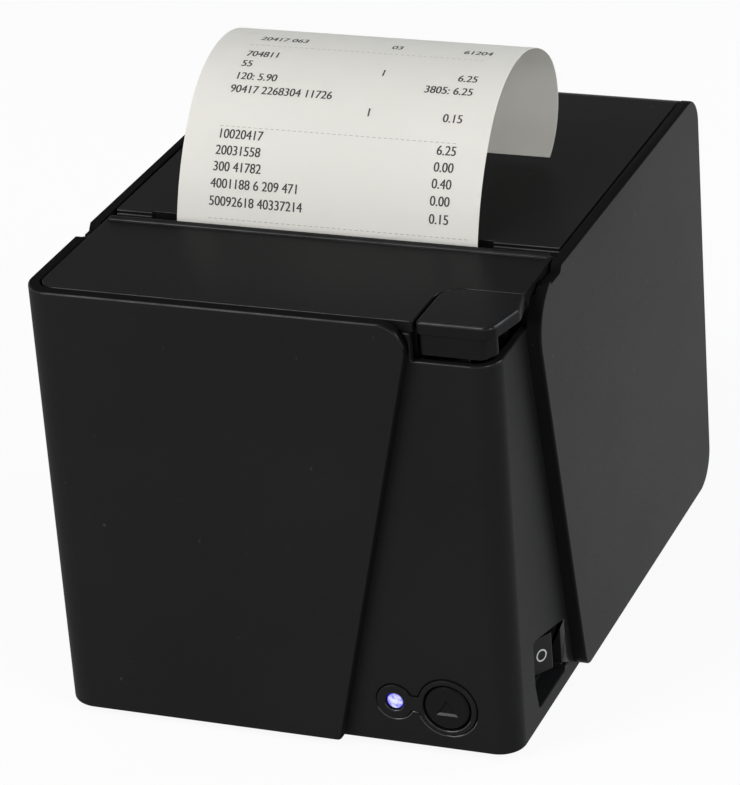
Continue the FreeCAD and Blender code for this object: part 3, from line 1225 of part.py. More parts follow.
def jack(size, mouth_w, mouth_h, mouth_d):
    """Modular socket: a rectangular mouth with the latch keyway below it."""
    x, height = size[0], size[2]
    low = BOARD_LEVEL + BOARD_T + (height - mouth_h) / 2 + 0.6
    y = (PORT_FACE - mouth_d, PORT_FACE + 1)
    mouth = block((x - mouth_w / 2, x + mouth_w / 2), y, (low, low + mouth_h))
    key = block((x - 3.0, x + 3.0), y, (low - 1.8, low + 1))
    return port_body(size).cut(mouth).cut(key)


def lan_port():
    return jack(LAN, 11.8, 8.0, 12.0)


def drawer_port():
    return jack(DRAWER, 9.8, 7.2, 12.0)


def usb_port():
    x = USB[0]
    low = BOARD_LEVEL + BOARD_T + 1.6
    y = (PORT_FACE - 9.0, PORT_FACE + 1)
    mouth = plate("y", rectangle((x - 4.25, x + 4.25), (low, low + 7.8), 1.2), y)
    tongue = block((x - 2.8, x + 2.8), (y[0] - 0.5, PORT_FACE - 1.0), (low + 2.2, low + 5.4))
    return join(port_body(USB).cut(mouth), tongue)


def power_inlet():
    x = POWER[0]
    z = BOARD_LEVEL + BOARD_T + POWER[2] / 2
    socket = port_body(POWER).cut(rod_y(x, (PORT_FACE - 9, PORT_FACE + 1), z, 5.2))
    pins = []
    for angle in (90.0, 210.0, 330.0):
        px, pz = polar(x, z, 2.4, angle)
        pins.append(block((px - 0.5, px + 0.5), (PORT_FACE - 9.5, PORT_FACE - 2.5), (pz - 0.5, pz + 0.5)))
    return join(socket, *pins)


def interface_plate():
    x = (WINDOW_X[0] - 1.6, WINDOW_X[1] + 1.6)
    z = (SIDE_FOOT + SIDE_HEEL_CORNER, WINDOW_Z[1] + 1.6)
    sheet = block(x, (CASE_REAR - 1.0, CASE_REAR), z)
    for size in (LAN, USB, DRAWER, POWER):
        middle, width, height = size[0], size[1], size[2]
        base = BOARD_LEVEL + BOARD_T
        hole = block((middle - width / 2 - 0.25, middle + width / 2 + 0.25), (CASE_REAR - 3, CASE_REAR + 1),
                     (0, base + height + 0.25))
        sheet = sheet.cut(hole)
    return sheet


def main_board():
    board = block(MAIN_X, main_board_y(), (BOARD_LEVEL, BOARD_LEVEL + BOARD_T))
    chips = []
    y = main_board_y()[0]
    for x, ahead, size, tall in ((-24, 6, 9, 1.2), (2, 4, 12, 1.4), (24, 7, 7, 1.2)):
        chips.append(block((x - size / 2, x + size / 2), (y + ahead, y + ahead + size),
                           (BOARD_LEVEL + BOARD_T, BOARD_LEVEL + BOARD_T + tall)))
    return join(board, *chips)


def left_side_panel():
    return side_panel(LEFT_SEAM_TOP, LEFT_SEAM_RUN, 0, -1)


def right_side_panel():
    return side_panel(SIDE_FRONT_TOP, SIDE_FRONT_RUN, SIDE_TOP_CORNER, 1)


PIECES = [
    main_case, front_panel, top_front_panel, rear_panel, lid_cover, lid_hinge_pins, lid_inner_frame,
    platen_bushes, platen_roller, platen_shaft, platen_gear, idler_gear, idler_stud, motor_pinion,
    feed_motor, paper_web, receipt, paper_roll, roll_core, roll_bucket, near_end_sensor, mech_frame,
    frame_screws, head_heatsink, head_ceramic, head_crossbar, head_springs, moving_blade,
    blade_racks, cutter_shaft, cutter_pinions, cutter_motor_pinion, cutter_motor, cutter_guide,
    fixed_blade, open_lever, lever_pin, latch_shaft, latch_hooks, latch_arm, latch_spring,
    control_bezel, feed_button, led_lens, control_board, tact_switch, power_switch_body,
    power_rocker, base_tray, rubber_feet, case_screws, lan_port, usb_port, drawer_port, power_inlet,
    interface_plate, main_board, left_side_panel, right_side_panel,
]

# The finished part has its origin under its middle, on the surface that the feet stand on.
TO_ORIGIN = vec(0, -DEPTH / 2, FOOT_DROP)

for piece in PIECES:
    shape = piece()
    shape.translate(TO_ORIGIN)
    solids = len(shape.Solids)
    sound = shape.isValid() and solids > 0
    note = "" if sound else "NOT SOUND"
    print(f"{piece.__name__:20s} solids {solids:2d} volume {shape.Volume:10.1f} {note}")
    shape.exportStep(f"parts/{piece.__name__}.step")
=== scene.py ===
# %% [markdown]
# # A desktop receipt printer
# The printer is a dark moulded box with a hinged lid, a thumb lever and a slip of paper that curls out of
# its slot. It could be modelled in Blender from nothing, but its sizes and joints are already in the solids
# that come from CAD. So those solids are the fixed frame of this scene, and here they get softened edges,
# finishes, paper, print and light.

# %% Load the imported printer
import json
import math

import bmesh
import bpy
import numpy as np
from mathutils import Matrix, Vector


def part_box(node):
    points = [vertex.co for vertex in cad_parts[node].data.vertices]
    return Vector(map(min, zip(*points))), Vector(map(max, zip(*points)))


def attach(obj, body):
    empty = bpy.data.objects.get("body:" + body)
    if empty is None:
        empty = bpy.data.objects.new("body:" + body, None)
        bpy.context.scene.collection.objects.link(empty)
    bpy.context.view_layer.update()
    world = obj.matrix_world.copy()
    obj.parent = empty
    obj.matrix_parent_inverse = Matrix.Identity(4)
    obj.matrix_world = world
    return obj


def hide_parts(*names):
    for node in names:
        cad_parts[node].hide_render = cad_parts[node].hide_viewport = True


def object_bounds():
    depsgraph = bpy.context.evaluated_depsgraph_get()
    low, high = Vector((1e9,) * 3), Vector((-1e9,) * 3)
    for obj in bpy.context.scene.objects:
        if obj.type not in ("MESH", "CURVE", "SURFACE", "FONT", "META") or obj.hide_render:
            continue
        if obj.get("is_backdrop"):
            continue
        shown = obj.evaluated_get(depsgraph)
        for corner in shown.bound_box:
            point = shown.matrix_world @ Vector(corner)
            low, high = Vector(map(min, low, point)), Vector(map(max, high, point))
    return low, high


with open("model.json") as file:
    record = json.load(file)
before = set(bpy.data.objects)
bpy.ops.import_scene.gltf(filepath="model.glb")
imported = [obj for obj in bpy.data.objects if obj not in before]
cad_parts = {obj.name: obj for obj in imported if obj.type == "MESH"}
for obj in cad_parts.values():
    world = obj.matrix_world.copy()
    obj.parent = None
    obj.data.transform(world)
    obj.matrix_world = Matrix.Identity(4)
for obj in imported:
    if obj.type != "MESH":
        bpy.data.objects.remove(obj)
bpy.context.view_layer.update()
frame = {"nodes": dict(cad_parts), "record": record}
nodes = frame["nodes"]
record = frame["record"]
body_of = {node: body for body, members in record["behaviour"]["bodies"].items() for node in members}
slot_of = {entry["node"]: entry["material_slot"] for entry in record["subparts"]}
scene = bpy.context.scene
scene.view_settings.view_transform = "Standard"
MM = 0.001

# %% [markdown]
# ## The camera
# The photograph was taken with a long lens from the right and above, with the camera slightly tipped. A
# camera could be moved by eye until the edges meet. Three angles and a place are easier to read and to
# adjust, so its matrix is built from them.

# %% Camera
PHOTO_LONG_SIDE = 785
FOCAL_PIXELS = 3905.7
SENSOR = 36
CAMERA_AT = Vector((0.3483, -0.8409, 0.4917))
AZIMUTH, ELEVATION, TIP = (math.radians(a) for a in (22.78, 25.38, -4.35))


def linked(name, data):
    """New object in the scene for a mesh, a light or a camera."""
    made = bpy.data.objects.new(name, data)
    scene.collection.objects.link(made)
    return made


back = Vector((math.sin(AZIMUTH) * math.cos(ELEVATION),
               -math.cos(AZIMUTH) * math.cos(ELEVATION),
               math.sin(ELEVATION)))
right = (-back).cross(Vector((0, 0, 1))).normalized()
up = right.cross(-back)
tipped_right = right * math.cos(TIP) + up * math.sin(TIP)
tipped_up = up * math.cos(TIP) - right * math.sin(TIP)
camera_turn = Matrix((tipped_right, tipped_up, back)).transposed().to_4x4()
camera = linked("camera", bpy.data.cameras.new("camera"))
camera.matrix_world = Matrix.Translation(CAMERA_AT) @ camera_turn
camera.data.sensor_width = SENSOR
camera.data.lens = FOCAL_PIXELS * SENSOR / PHOTO_LONG_SIDE
camera.data.clip_start, camera.data.clip_end = 0.05, 20
scene.camera = camera
print("camera lens", round(camera.data.lens, 1), "mm")

# %% [markdown]
# ## Writing shaders as expressions
# Procedural finishes need some arithmetic between nodes. Each Math node could be added and linked by hand,
# which takes four lines for a sum. Instead a small class wraps a node's output, so that `1 - mask * 0.5` adds
# its Math nodes by itself. All other nodes come from one method, which serves materials, the sky and the
# trees of Geometry Nodes alike.

# %% Values with Python's operators
class Value:
    """A number that changes over a surface: an output socket with Python's operators."""

    def __init__(self, tree, socket):
        self.tree = tree
        self.socket = socket

    def maths(self, operation, first, second):
        node = self.tree.nodes.new("ShaderNodeMath")
        node.operation = operation
        plug(self.tree, first, node.inputs[0])
        plug(self.tree, second, node.inputs[1])
        return Value(self.tree, node.outputs[0])

    def __add__(self, other):
        return self.maths("ADD", self, other)

    def __radd__(self, other):
        return self.maths("ADD", other, self)

    def __sub__(self, other):
        return self.maths("SUBTRACT", self, other)

    def __rsub__(self, other):
        return self.maths("SUBTRACT", other, self)

    def __mul__(self, other):
        return self.maths("MULTIPLY", self, other)

    def __rmul__(self, other):
        return self.maths("MULTIPLY", other, self)


def plug(tree, item, socket):
    """Feed a socket from another node, or set its own value."""
    if isinstance(item, Value):
        tree.links.new(item.socket, socket)
    else:
        socket.default_value = item


print("values can be added, subtracted and multiplied")


# %% Trees of nodes
class Wiring:
    """A tree of nodes of any kind."""

    def __init__(self, tree):
        self.tree = tree

    def node(self, kind, settings=None, out=0, **sockets):
        """Add any node: its settings first, then the values or links of its sockets, by name or as i0, i1."""
        node = self.tree.nodes.new(kind)
        for name, value in (settings or {}).items():
            setattr(node, name, value)
        for name, value in sockets.items():
            plug(self.tree, value, node.inputs[int(name[1:]) if name[1:].isdigit() else name])
        return Value(self.tree, node.outputs[out])

    def ranged(self, value, low, high, first, second):
        """Go from first to second while a value goes from low to high."""
        return self.node("ShaderNodeMapRange", Value=value, i1=low, i2=high, i3=first, i4=second)


print("trees can be wired")


# %% Finishes
class Finish(Wiring):
    """A material that starts from one Principled shader."""

    def __init__(self, name, **values):
        self.material = bpy.data.materials.new(name)
        self.material.use_nodes = True
        super().__init__(self.material.node_tree)
        self.shader = self.tree.nodes["Principled BSDF"]
        self.set(**values)

    def set(self, **values):
        """Feed the shader's sockets, named in small letters."""
        for name, value in values.items():
            plug(self.tree, value, self.shader.inputs[name.replace("_", " ").title().replace("Ior", "IOR")])
        return self

    def place(self):
        return self.node("ShaderNodeTexCoord", out="Object")

    def stretched(self, x, y, z):
        """Object coordinates with a scale along each axis, for a grain that has a direction."""
        return self.node("ShaderNodeMapping", Vector=self.place(), Scale=(x, y, z))

    def vectors(self, operation, first, second=(0, 0, 0), out=0):
        """Vector Math, which keeps all three numbers of a place."""
        return self.node("ShaderNodeVectorMath", {"operation": operation}, out, i0=first, i1=second)

    def from_axis(self, middle, across):
        """Distance from an axis through a point: across holds 1 for the two directions that count."""
        offset = self.vectors("SUBTRACT", self.place(), tuple(middle))
        return self.vectors("LENGTH", self.vectors("MULTIPLY", offset, across), out="Value")

    def noise(self, scale, detail=2.0, place=None):
        """Soft noise of so many spots to the metre."""
        return self.node("ShaderNodeTexNoise", Vector=place or self.place(), Scale=scale, Detail=detail)

    def mask(self, name):
        """Number that each face of a piece carries under a name."""
        return self.node("ShaderNodeAttribute", {"attribute_name": name}, 2)

    def mix(self, factor, first, second):
        """Blend of two colours."""
        return self.node("ShaderNodeMix", {"data_type": "RGBA"}, 2, i0=factor, i6=first, i7=second)

    def bump(self, height, depth):
        return self.set(normal=self.node("ShaderNodeBump", Distance=depth, Height=height))


def grey(level, tint=(1.0, 1.0, 1.0)):
    return tuple(level * t for t in tint) + (1.0,)


print("finishes can be made")

# %% [markdown]
# ## Moulded plastic
# The shell is black plastic with a fine spark-eroded grain. Grain of a third of a millimetre is too small to
# draw in geometry, so a bump does it, and a slow drift of the roughness keeps the broad faces from looking
# like painted glass. Hands reach the printer from the front and polish the grain off the upper edges there,
# in patches, and most of all around the button and in the pocket of the switch: a clear coat there reflects
# the lamps, and a lighter base colour adds a painted highlight. The narrow rims beside the lid and the wall
# of the slanted seam are never touched: they are rougher, and their darker base colour is painted shade.
# Wear could follow the curvature, but then every edge would shine alike. So each face carries both values
# as masks, which are written when its edges are rounded. A few specks of dust finish it.

# %% Plastics
DRIFT_SPOTS, PATCH_SPOTS, DUST_SPOTS = 22, 140, 480  # spots to the metre
DRIFT_ROUGH, GRAIN_ROUGH, MATT_ROUGH, WORN_SMOOTH = 0.12, 0.14, 0.3, 0.1
COAT_ROUGHNESS, COAT_IOR = 0.14, 1.7
# lightening of the base colour on polished faces: a painted highlight
HIGHLIGHT_TIMES, HIGHLIGHT_SHARE = 2.5, 0.5
# colour of dust, and the darker base colour painted as shade on rims and the seam wall
DUST_LEVEL, PAINTED_SHADE_LEVEL = 0.05, 0.0055
COOL = (0.97, 0.98, 1.03)


def moulded(name, level, roughness, specular, grain=2800, depth=0.00003, tint=COOL, handled_and_painted=False):
    """Plastic or rubber of a grey level; handled plastic adds coated edges, painted highlight and shade, and
    dust.
    """
    finish = Finish(name, specular_ior_level=specular, coat_roughness=COAT_ROUGHNESS, coat_ior=COAT_IOR)
    fine = finish.noise(grain, 3.0)
    drift = finish.noise(DRIFT_SPOTS, 3.0)
    plain = finish.mix(drift, grey(level * 0.8, tint), grey(level * 1.2, tint))
    rough = roughness + (drift - 0.5) * DRIFT_ROUGH + (fine - 0.5) * GRAIN_ROUGH
    if handled_and_painted:
        patches = finish.ranged(finish.noise(PATCH_SPOTS), 0.3, 0.65, 0.5, 1.0)
        dust = finish.ranged(finish.noise(DUST_SPOTS, 1.0), 0.78, 0.84, 0.0, 0.6)
        worn_and_highlight = finish.mask("polish") * patches
        matt = finish.mask("matt")
        # polished faces: a clear coat, and a lighter base colour that is a painted highlight
        plain = finish.mix(worn_and_highlight * HIGHLIGHT_SHARE, plain, grey(level * HIGHLIGHT_TIMES, tint))
        plain = finish.mix(dust, plain, grey(DUST_LEVEL))
        # rims and the seam wall: base colour darkened as painted shade
        plain = finish.mix(matt, plain, grey(PAINTED_SHADE_LEVEL, tint))
        rough = rough - worn_and_highlight * WORN_SMOOTH + matt * MATT_ROUGH
        finish.set(coat_weight=worn_and_highlight)
    finish.set(base_color=plain, roughness=rough)
    return finish.bump(fine, depth).material


shell_black = moulded("satin_black_shell", 0.0085, 0.36, 0.031, handled_and_painted=True)
front_black = moulded("fine_black_front", 0.0115, 0.55, 0.036, grain=2400, handled_and_painted=True)
case_black = moulded("matt_black_case", 0.011, 0.44, 0.036, grain=2200, depth=0.00004, handled_and_painted=True)
rocker_black = moulded("smooth_black_rocker", 0.008, 0.30, 0.12, grain=4200, depth=0.00001, handled_and_painted=True)
inner_grey = moulded("inner_grey_moulding", 0.035, 0.5, 0.4)
acetal_white = moulded("natural_acetal", 0.62, 0.38, 0.45, grain=3600, depth=0.00001, tint=(1.0, 0.98, 0.92))
foot_rubber = moulded("foot_rubber", 0.02, 0.75, 0.2, grain=1800, depth=0.00005)
platen_rubber = moulded("ground_platen_rubber", 0.055, 0.68, 0.25, grain=5200, depth=0.00003)
ceramic = moulded("glazed_ceramic", 0.6, 0.18, 0.55, grain=3000, depth=0.000004, tint=(1.0, 0.95, 0.86))
print("plastics, rubbers and ceramic made")

# %% [markdown]
# ## Metals and boards
# Sheet steel, blades and shafts show a faint grain along one direction, left by rolling and grinding. An
# anisotropic shader could stretch their highlights, but it needs tangents that CAD meshes don't have.
# Stretching the noise along an axis makes the grain on any mesh, and it drives the roughness more than the
# colour. A socket is two materials in one solid: a steel shield with a black lining, or a black block with
# steel pins. A mask on its faces tells them apart, so the solid needn't be cut. A brick pattern stands for
# the tracks under a board's green lacquer.

# %% Metals
STAIN_SPOTS, STAIN_SHADE = 60, 0.86
BRUSH_ROUGH, BRUSH_DEPTH = 0.22, 0.00001
LINING_DARK, LINING_PALE, LINING_ROUGH = 0.011, 0.016, 0.12


def brushed(name, colour, roughness, along=(30, 2600, 2600), metallic=1.0, socket=None):
    """Metal with a grain: a steel socket has black plastic where its mask says so, a black one elsewhere."""
    finish = Finish(name, metallic=metallic)
    grain = finish.noise(1.0, 3.0, finish.stretched(*along))
    stain = finish.noise(STAIN_SPOTS)
    shade = finish.mix(stain, grey(STAIN_SHADE, colour), grey(1.0, colour))
    rough = roughness + (grain - 0.5) * BRUSH_ROUGH
    if socket:
        inlaid = finish.mask("inlay")
        plastic = 1 - inlaid if socket == "black" else inlaid
        shade = finish.mix(plastic, shade, finish.mix(stain, grey(LINING_DARK), grey(LINING_PALE)))
        finish.set(metallic=1 - plastic)
        rough = rough + plastic * LINING_ROUGH
    finish.set(base_color=shade, roughness=rough)
    return finish.bump(grain, BRUSH_DEPTH).material


chassis_steel = brushed("plated_chassis_steel", (0.62, 0.63, 0.65), 0.34)
shaft_steel = brushed("ground_shaft_steel", (0.78, 0.79, 0.81), 0.16, (2600, 40, 40))
blade_steel = brushed("ground_blade_steel", (0.72, 0.73, 0.75), 0.22, (2800, 30, 200))
screw_steel = brushed("zinc_screw_steel", (0.55, 0.56, 0.58), 0.32, (1500, 1500, 1500))
spring_steel = brushed("spring_steel", (0.45, 0.46, 0.48), 0.28, (900, 900, 900))
heatsink_metal = brushed("extruded_aluminium", (0.74, 0.75, 0.77), 0.38)
pinion_brass = brushed("cut_brass", (0.78, 0.58, 0.26), 0.25, (1800, 600, 600))
motor_steel = brushed("motor_can_steel", (0.2, 0.2, 0.21), 0.36, (40, 2000, 2000), 0.8)
socket_steel = brushed("socket_shield_steel", (0.7, 0.71, 0.72), 0.3, socket="steel")
socket_black = brushed("socket_block_black", (0.74, 0.7, 0.6), 0.26, (900, 900, 900), socket="black")
print("metals made")

# %% Boards
board_finish = Finish("solder_mask_green", roughness=0.35, specular_ior_level=0.5)
tracks = board_finish.node(
    "ShaderNodeTexBrick", {"offset": 0.5}, Vector=board_finish.place(), Scale=240.0,
    Color1=(0.012, 0.11, 0.045, 1), Color2=(0.016, 0.14, 0.06, 1), Mortar=(0.03, 0.2, 0.09, 1))
board_green = board_finish.set(base_color=tracks).material

core_finish = Finish("wound_core_board", roughness=0.85)
board_fibre = core_finish.noise(1.0, 4.0, core_finish.stretched(300, 2500, 2500))
core_finish.set(base_color=core_finish.mix(board_fibre, (0.2, 0.14, 0.085, 1), (0.36, 0.27, 0.17, 1)))
core_board = core_finish.bump(board_fibre, 0.00004).material
print("circuit board and core board made")

# %% [markdown]
# ## Lamp, paper and ink
# The lamp glows a pale, uneven violet and dark blue at its rim. A real light inside a clear lens would be
# noisy at this size, so the lens itself glows, and its colour follows the distance from its axis. Thermal
# paper is smooth with a faint mottle and lets some light through. A thin translucent sheet could do that, but
# a little subsurface light on a sheet with a real thickness also keeps its edge white. Its ink is a soft,
# uneven black.

# %% Lamp
lamp_low, lamp_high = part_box("led_lens")
lamp_r = (lamp_high.x - lamp_low.x) / 2
RIM_FROM, RIM_TO = 0.8, 0.9  # shares of the lamp's radius
DEEP_BLUE, VIOLET, PALE_VIOLET = (0.012, 0.008, 0.34, 1), (0.24, 0.21, 0.8, 1), (0.76, 0.78, 1, 1)
lamp = Finish("lit_blue_lamp", roughness=0.2, emission_strength=1.0, base_color=(0.02, 0.03, 0.3, 1))
from_middle = lamp.from_axis((lamp_low + lamp_high) / 2, (1, 0, 1))
rim = lamp.ranged(from_middle, lamp_r * RIM_FROM, lamp_r * RIM_TO, 0.0, 1.0)
cloud = lamp.ranged(lamp.noise(800, 3.0), 0.4, 0.62, 0.0, 1.0)
lamp.set(emission_color=lamp.mix(rim, lamp.mix(cloud, VIOLET, PALE_VIOLET), DEEP_BLUE))
print("lamp of radius", round(lamp_r / MM, 2), "mm made")

# %% Paper, ink and switch mark
PAPER_LEVEL = 0.79
FIBRE_SPOTS, MOTTLE_SPOTS = 900, 70
paper = Finish("thermal_paper", specular_ior_level=0.3, subsurface_weight=0.4, subsurface_scale=0.0008,
               subsurface_radius=(1.0, 0.97, 0.9))
fibre = paper.noise(FIBRE_SPOTS, 4.0)
mottle = paper.noise(MOTTLE_SPOTS, 3.0)
warm, pale = grey(PAPER_LEVEL * 0.96, (1, 0.97, 0.88)), grey(PAPER_LEVEL, (1, 0.975, 0.9))
paper.set(base_color=paper.mix(mottle, warm, pale), roughness=0.55 + (fibre - 0.5) * 0.2)
thermal_paper = paper.bump(fibre, 0.00001).material

ink_finish = Finish("thermal_ink", roughness=0.6, specular_ior_level=0.2)
ink_shade = ink_finish.mix(ink_finish.noise(2600), grey(0.02), grey(0.09))
ink = ink_finish.set(base_color=ink_shade).material
mark_finish = Finish("pale_switch_mark", roughness=0.5)
mark_shade = mark_finish.mix(mark_finish.noise(1500), grey(0.5), grey(0.62))
mark_white = mark_finish.set(base_color=mark_shade).material
print("paper, ink and switch mark made")

# %% [markdown]
# ## Soft edges
# A moulding never has a razor edge: its rounded rim is what draws the bright lines in the photograph. A
# bevel in the shader could fake that, but then the exported mesh would stay sharp. So each solid is copied,
# its triangles are welded and its flat faces are joined again, and then the sharp edges get a small bevel.
# Weighted normals keep the broad faces flat next to the bevels. The bevel marks its own faces with a second
# material slot, and those that face up and to the front go into the mask of polished faces, with their
# painted highlight. The front and side panels come with their edges rounded in CAD, so they are only
# smoothed.

# %% Finish and rounding of each solid
FINISH = {
    "dark_shell": shell_black, "dark_case": case_black, "rocker_black": rocker_black,
    "lamp_blue": lamp.material, "thermal_paper": thermal_paper, "core_board": core_board,
    "black_rubber": foot_rubber, "platen_rubber": platen_rubber, "screw_steel": screw_steel,
    "chassis_steel": chassis_steel, "shaft_steel": shaft_steel, "spring_steel": spring_steel,
    "blade_steel": blade_steel, "motor_can": motor_steel, "white_gear": acetal_white,
    "brass_gear": pinion_brass, "heatsink_alu": heatsink_metal, "head_ceramic": ceramic,
    "grey_moulding": inner_grey, "board_green": board_green, "port_black": socket_black,
    "port_metal": socket_steel,
}
OWN_FINISH = {"front_panel": front_black}
PAPER_NODES = ("receipt", "paper_web", "paper_roll")
ROUNDING = {  # width of the bevel in millimetres
    "top_front_panel": 0.3, "lid_cover": 0.15, "main_case": 0.42, "open_lever": 0.25, "feed_button": 0.15,
    "control_bezel": 0.25, "power_rocker": 0.2, "power_switch_body": 0.2, "rear_panel": 0.3,
    "base_tray": 0.25, "rubber_feet": 0.4, "roll_bucket": 0.25, "lid_inner_frame": 0.2,
}
print(len(FINISH), "finishes,", len(ROUNDING), "rounded solids")


# %% From drafts to pieces
def plain_mesh(made, name):
    """Mesh of a finished bmesh, which is then freed."""
    mesh = bpy.data.meshes.new(name)
    made.to_mesh(mesh)
    made.free()
    return mesh


def settle(draft, name):
    """Turn an object with modifiers into a plain mesh piece."""
    bpy.context.view_layer.update()
    mesh = bpy.data.meshes.new_from_object(draft.evaluated_get(bpy.context.evaluated_depsgraph_get()))
    mesh.name = name
    bpy.data.objects.remove(draft)
    return linked(name, mesh)


def dress(piece, material, body):
    """Give a piece its finish, and let it ride on its body."""
    piece.data.materials.clear()
    piece.data.materials.append(material)
    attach(piece, body)
    return piece


print("pieces can be settled and dressed")

# %% [markdown]
# ## The mark on the button
# The feed button has a triangle sunk into its face. A bump could paint it, but its walls catch the light, so
# it is cut: a wedge that narrows with its depth is taken out of the button. The lower wall, which looks up at
# the light, goes into the mask of polished faces, which coats it and lightens it as a painted highlight.

# %% Cutter for the mark
MASK_SLOTS = [bpy.data.materials.new("mask_" + name) for name in ("plain", "edge")]
PLAIN, EDGE = 0, 1
BUTTON_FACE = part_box("feed_button")[0].y / MM
BUTTON_AT = (40.8, 14.0)
BUTTON_PLACE = Vector((BUTTON_AT[0], BUTTON_FACE, BUTTON_AT[1])) * MM
MARK_RIM = ((0, 2.45), (-2.8, -2.0), (2.8, -2.0))
MARK_FLOOR = ((0, 2.0), (-2.1, -1.45), (2.1, -1.45))
MARK_DEPTH = 0.4
WEDGE = ((0, 1, 2), (5, 4, 3), (0, 3, 4, 1), (1, 4, 5, 2), (2, 5, 3, 0))
LOWER_WALL = 3


def add_mask_slots(mesh):
    for slot in MASK_SLOTS:
        mesh.materials.append(slot)


def on_button(outline, y):
    return [Vector((BUTTON_AT[0] + x, y, BUTTON_AT[1] + z)) * MM for x, z in outline]


def wedge_cutter():
    """Wedge through the rim and the floor of the mark, which sticks out of the button so that it cuts."""
    sunk = on_button(MARK_FLOOR, BUTTON_FACE + MARK_DEPTH)
    outward = [2 * near - deep for near, deep in zip(on_button(MARK_RIM, BUTTON_FACE), sunk)]
    made = bmesh.new()
    corners = [made.verts.new(place) for place in outward + sunk]
    for number, wall in enumerate(WEDGE):
        face = made.faces.new([corners[index] for index in wall])
        face.material_index = EDGE if number == LOWER_WALL else PLAIN
    bmesh.ops.recalc_face_normals(made, faces=made.faces)
    cutter = linked("cutter", plain_mesh(made, "cutter"))
    add_mask_slots(cutter.data)
    return cutter


ENGRAVING = {"feed_button": wedge_cutter()}
print("mark cutter on the button face at", round(BUTTON_FACE, 2), "mm")

# %% Which faces are polished
CAD_ROUNDED = ("front_panel", "top_front_panel", "lid_cover", "open_lever")
SWITCH_PLACE = Vector((58.0, -48.0, 14.0)) * MM
RAMP_REACH, BUTTON_REACH = 16 * MM, 25 * MM
STRIP_WIDTH = 0.26
LEAN, SLIGHT_LEAN = 0.3, 0.1
# coat of polished faces, which also lightens their colour as a painted highlight
POLISH_AND_HIGHLIGHT = {"ramp": 0.6, "button": 0.6, "lower rim": 1.0, "other rim": 0.1, "edge": 0.3}


def is_narrow(mesh, face):
    """Whether a face is a strip of a small rounding."""
    corners = [mesh.vertices[index].co for index in face.vertices]
    longest = max((a - b).length for a, b in zip(corners, corners[1:] + corners[:1]))
    return face.area < longest * STRIP_WIDTH * MM


def polish_and_highlight_of(node, mesh, face):
    """Polish and painted highlight of a face: edges that face up and to the front, and the ramp to the
    switch.
    """
    if node == "main_case" and (face.center - SWITCH_PLACE).length < RAMP_REACH:
        if face.normal.x > LEAN and face.normal.y < -LEAN:
            return POLISH_AND_HIGHLIGHT["ramp"]
    rounded = face.material_index == EDGE or node in CAD_ROUNDED and is_narrow(mesh, face)
    if not rounded or face.normal.z < SLIGHT_LEAN or face.normal.y > -SLIGHT_LEAN:
        return 0.0
    if node == "feed_button":
        return POLISH_AND_HIGHLIGHT["button"]
    if (face.center - BUTTON_PLACE).length < BUTTON_REACH:
        below = face.center.z < BUTTON_PLACE.z and abs(face.normal.x) < LEAN
        return POLISH_AND_HIGHLIGHT["lower rim" if below else "other rim"]
    return POLISH_AND_HIGHLIGHT["edge"]


print("polish from", min(POLISH_AND_HIGHLIGHT.values()), "to", max(POLISH_AND_HIGHLIGHT.values()))

# %% Which faces get painted shade or an inlay
# pieces whose upper faces get painted shade; the front panel also on its seam wall
MATT_SHADED_RIMS = ("right_side_panel", "left_side_panel", "front_panel")
RIM_LEAN = 0.4
INLAYS = {  # second material of a socket: middle X and Z, half width and height, and depth from Y to Y
    "lan_port": (30.0, 19.0, 5.95, 5.0, 63.0, 75.7),
    "usb_port": (8.0, 18.0, 2.9, 1.7, 66.9, 74.9),
    "power_inlet": (-36.0, 19.6, 3.3, 3.3, 66.9, 73.4),
}


def is_matt_and_shaded(node, face):
    """Whether a face gets painted shade and roughness: an upper rim, or the seam wall beside the front panel.
    """
    return node in MATT_SHADED_RIMS and face.normal.z > RIM_LEAN or node == "front_panel" and face.normal.x > LEAN


def is_inlay(node, face):
    """Whether a face of a socket is of its second material."""
    if node not in INLAYS:
        return False
    x, z, half_x, half_z, near, far = INLAYS[node]
    place = face.center / MM
    return abs(place.x - x) < half_x and abs(place.z - z) < half_z and near < place.y < far


def masked(node, piece):
    """Write masks of polish with painted highlight, painted shade and inlays; give all faces one material
    slot.
    """
    mesh = piece.data
    masks = {
        "polish": [polish_and_highlight_of(node, mesh, face) for face in mesh.polygons],
        "matt": [float(is_matt_and_shaded(node, face)) for face in mesh.polygons],
        "inlay": [float(is_inlay(node, face)) for face in mesh.polygons],
    }
    for name, values in masks.items():
        mesh.attributes.new(name, "FLOAT", "FACE").data.foreach_set("value", values)
    mesh.polygons.foreach_set("material_index", [0] * len(mesh.polygons))
    return piece


print("inlays in", len(INLAYS), "sockets")

# %% Softened copies of the solids
WELD = 0.000004
FLAT_ANGLE = math.radians(0.5)
SHARP_ANGLE = math.radians(38)
ROUNDING_STEPS = 3


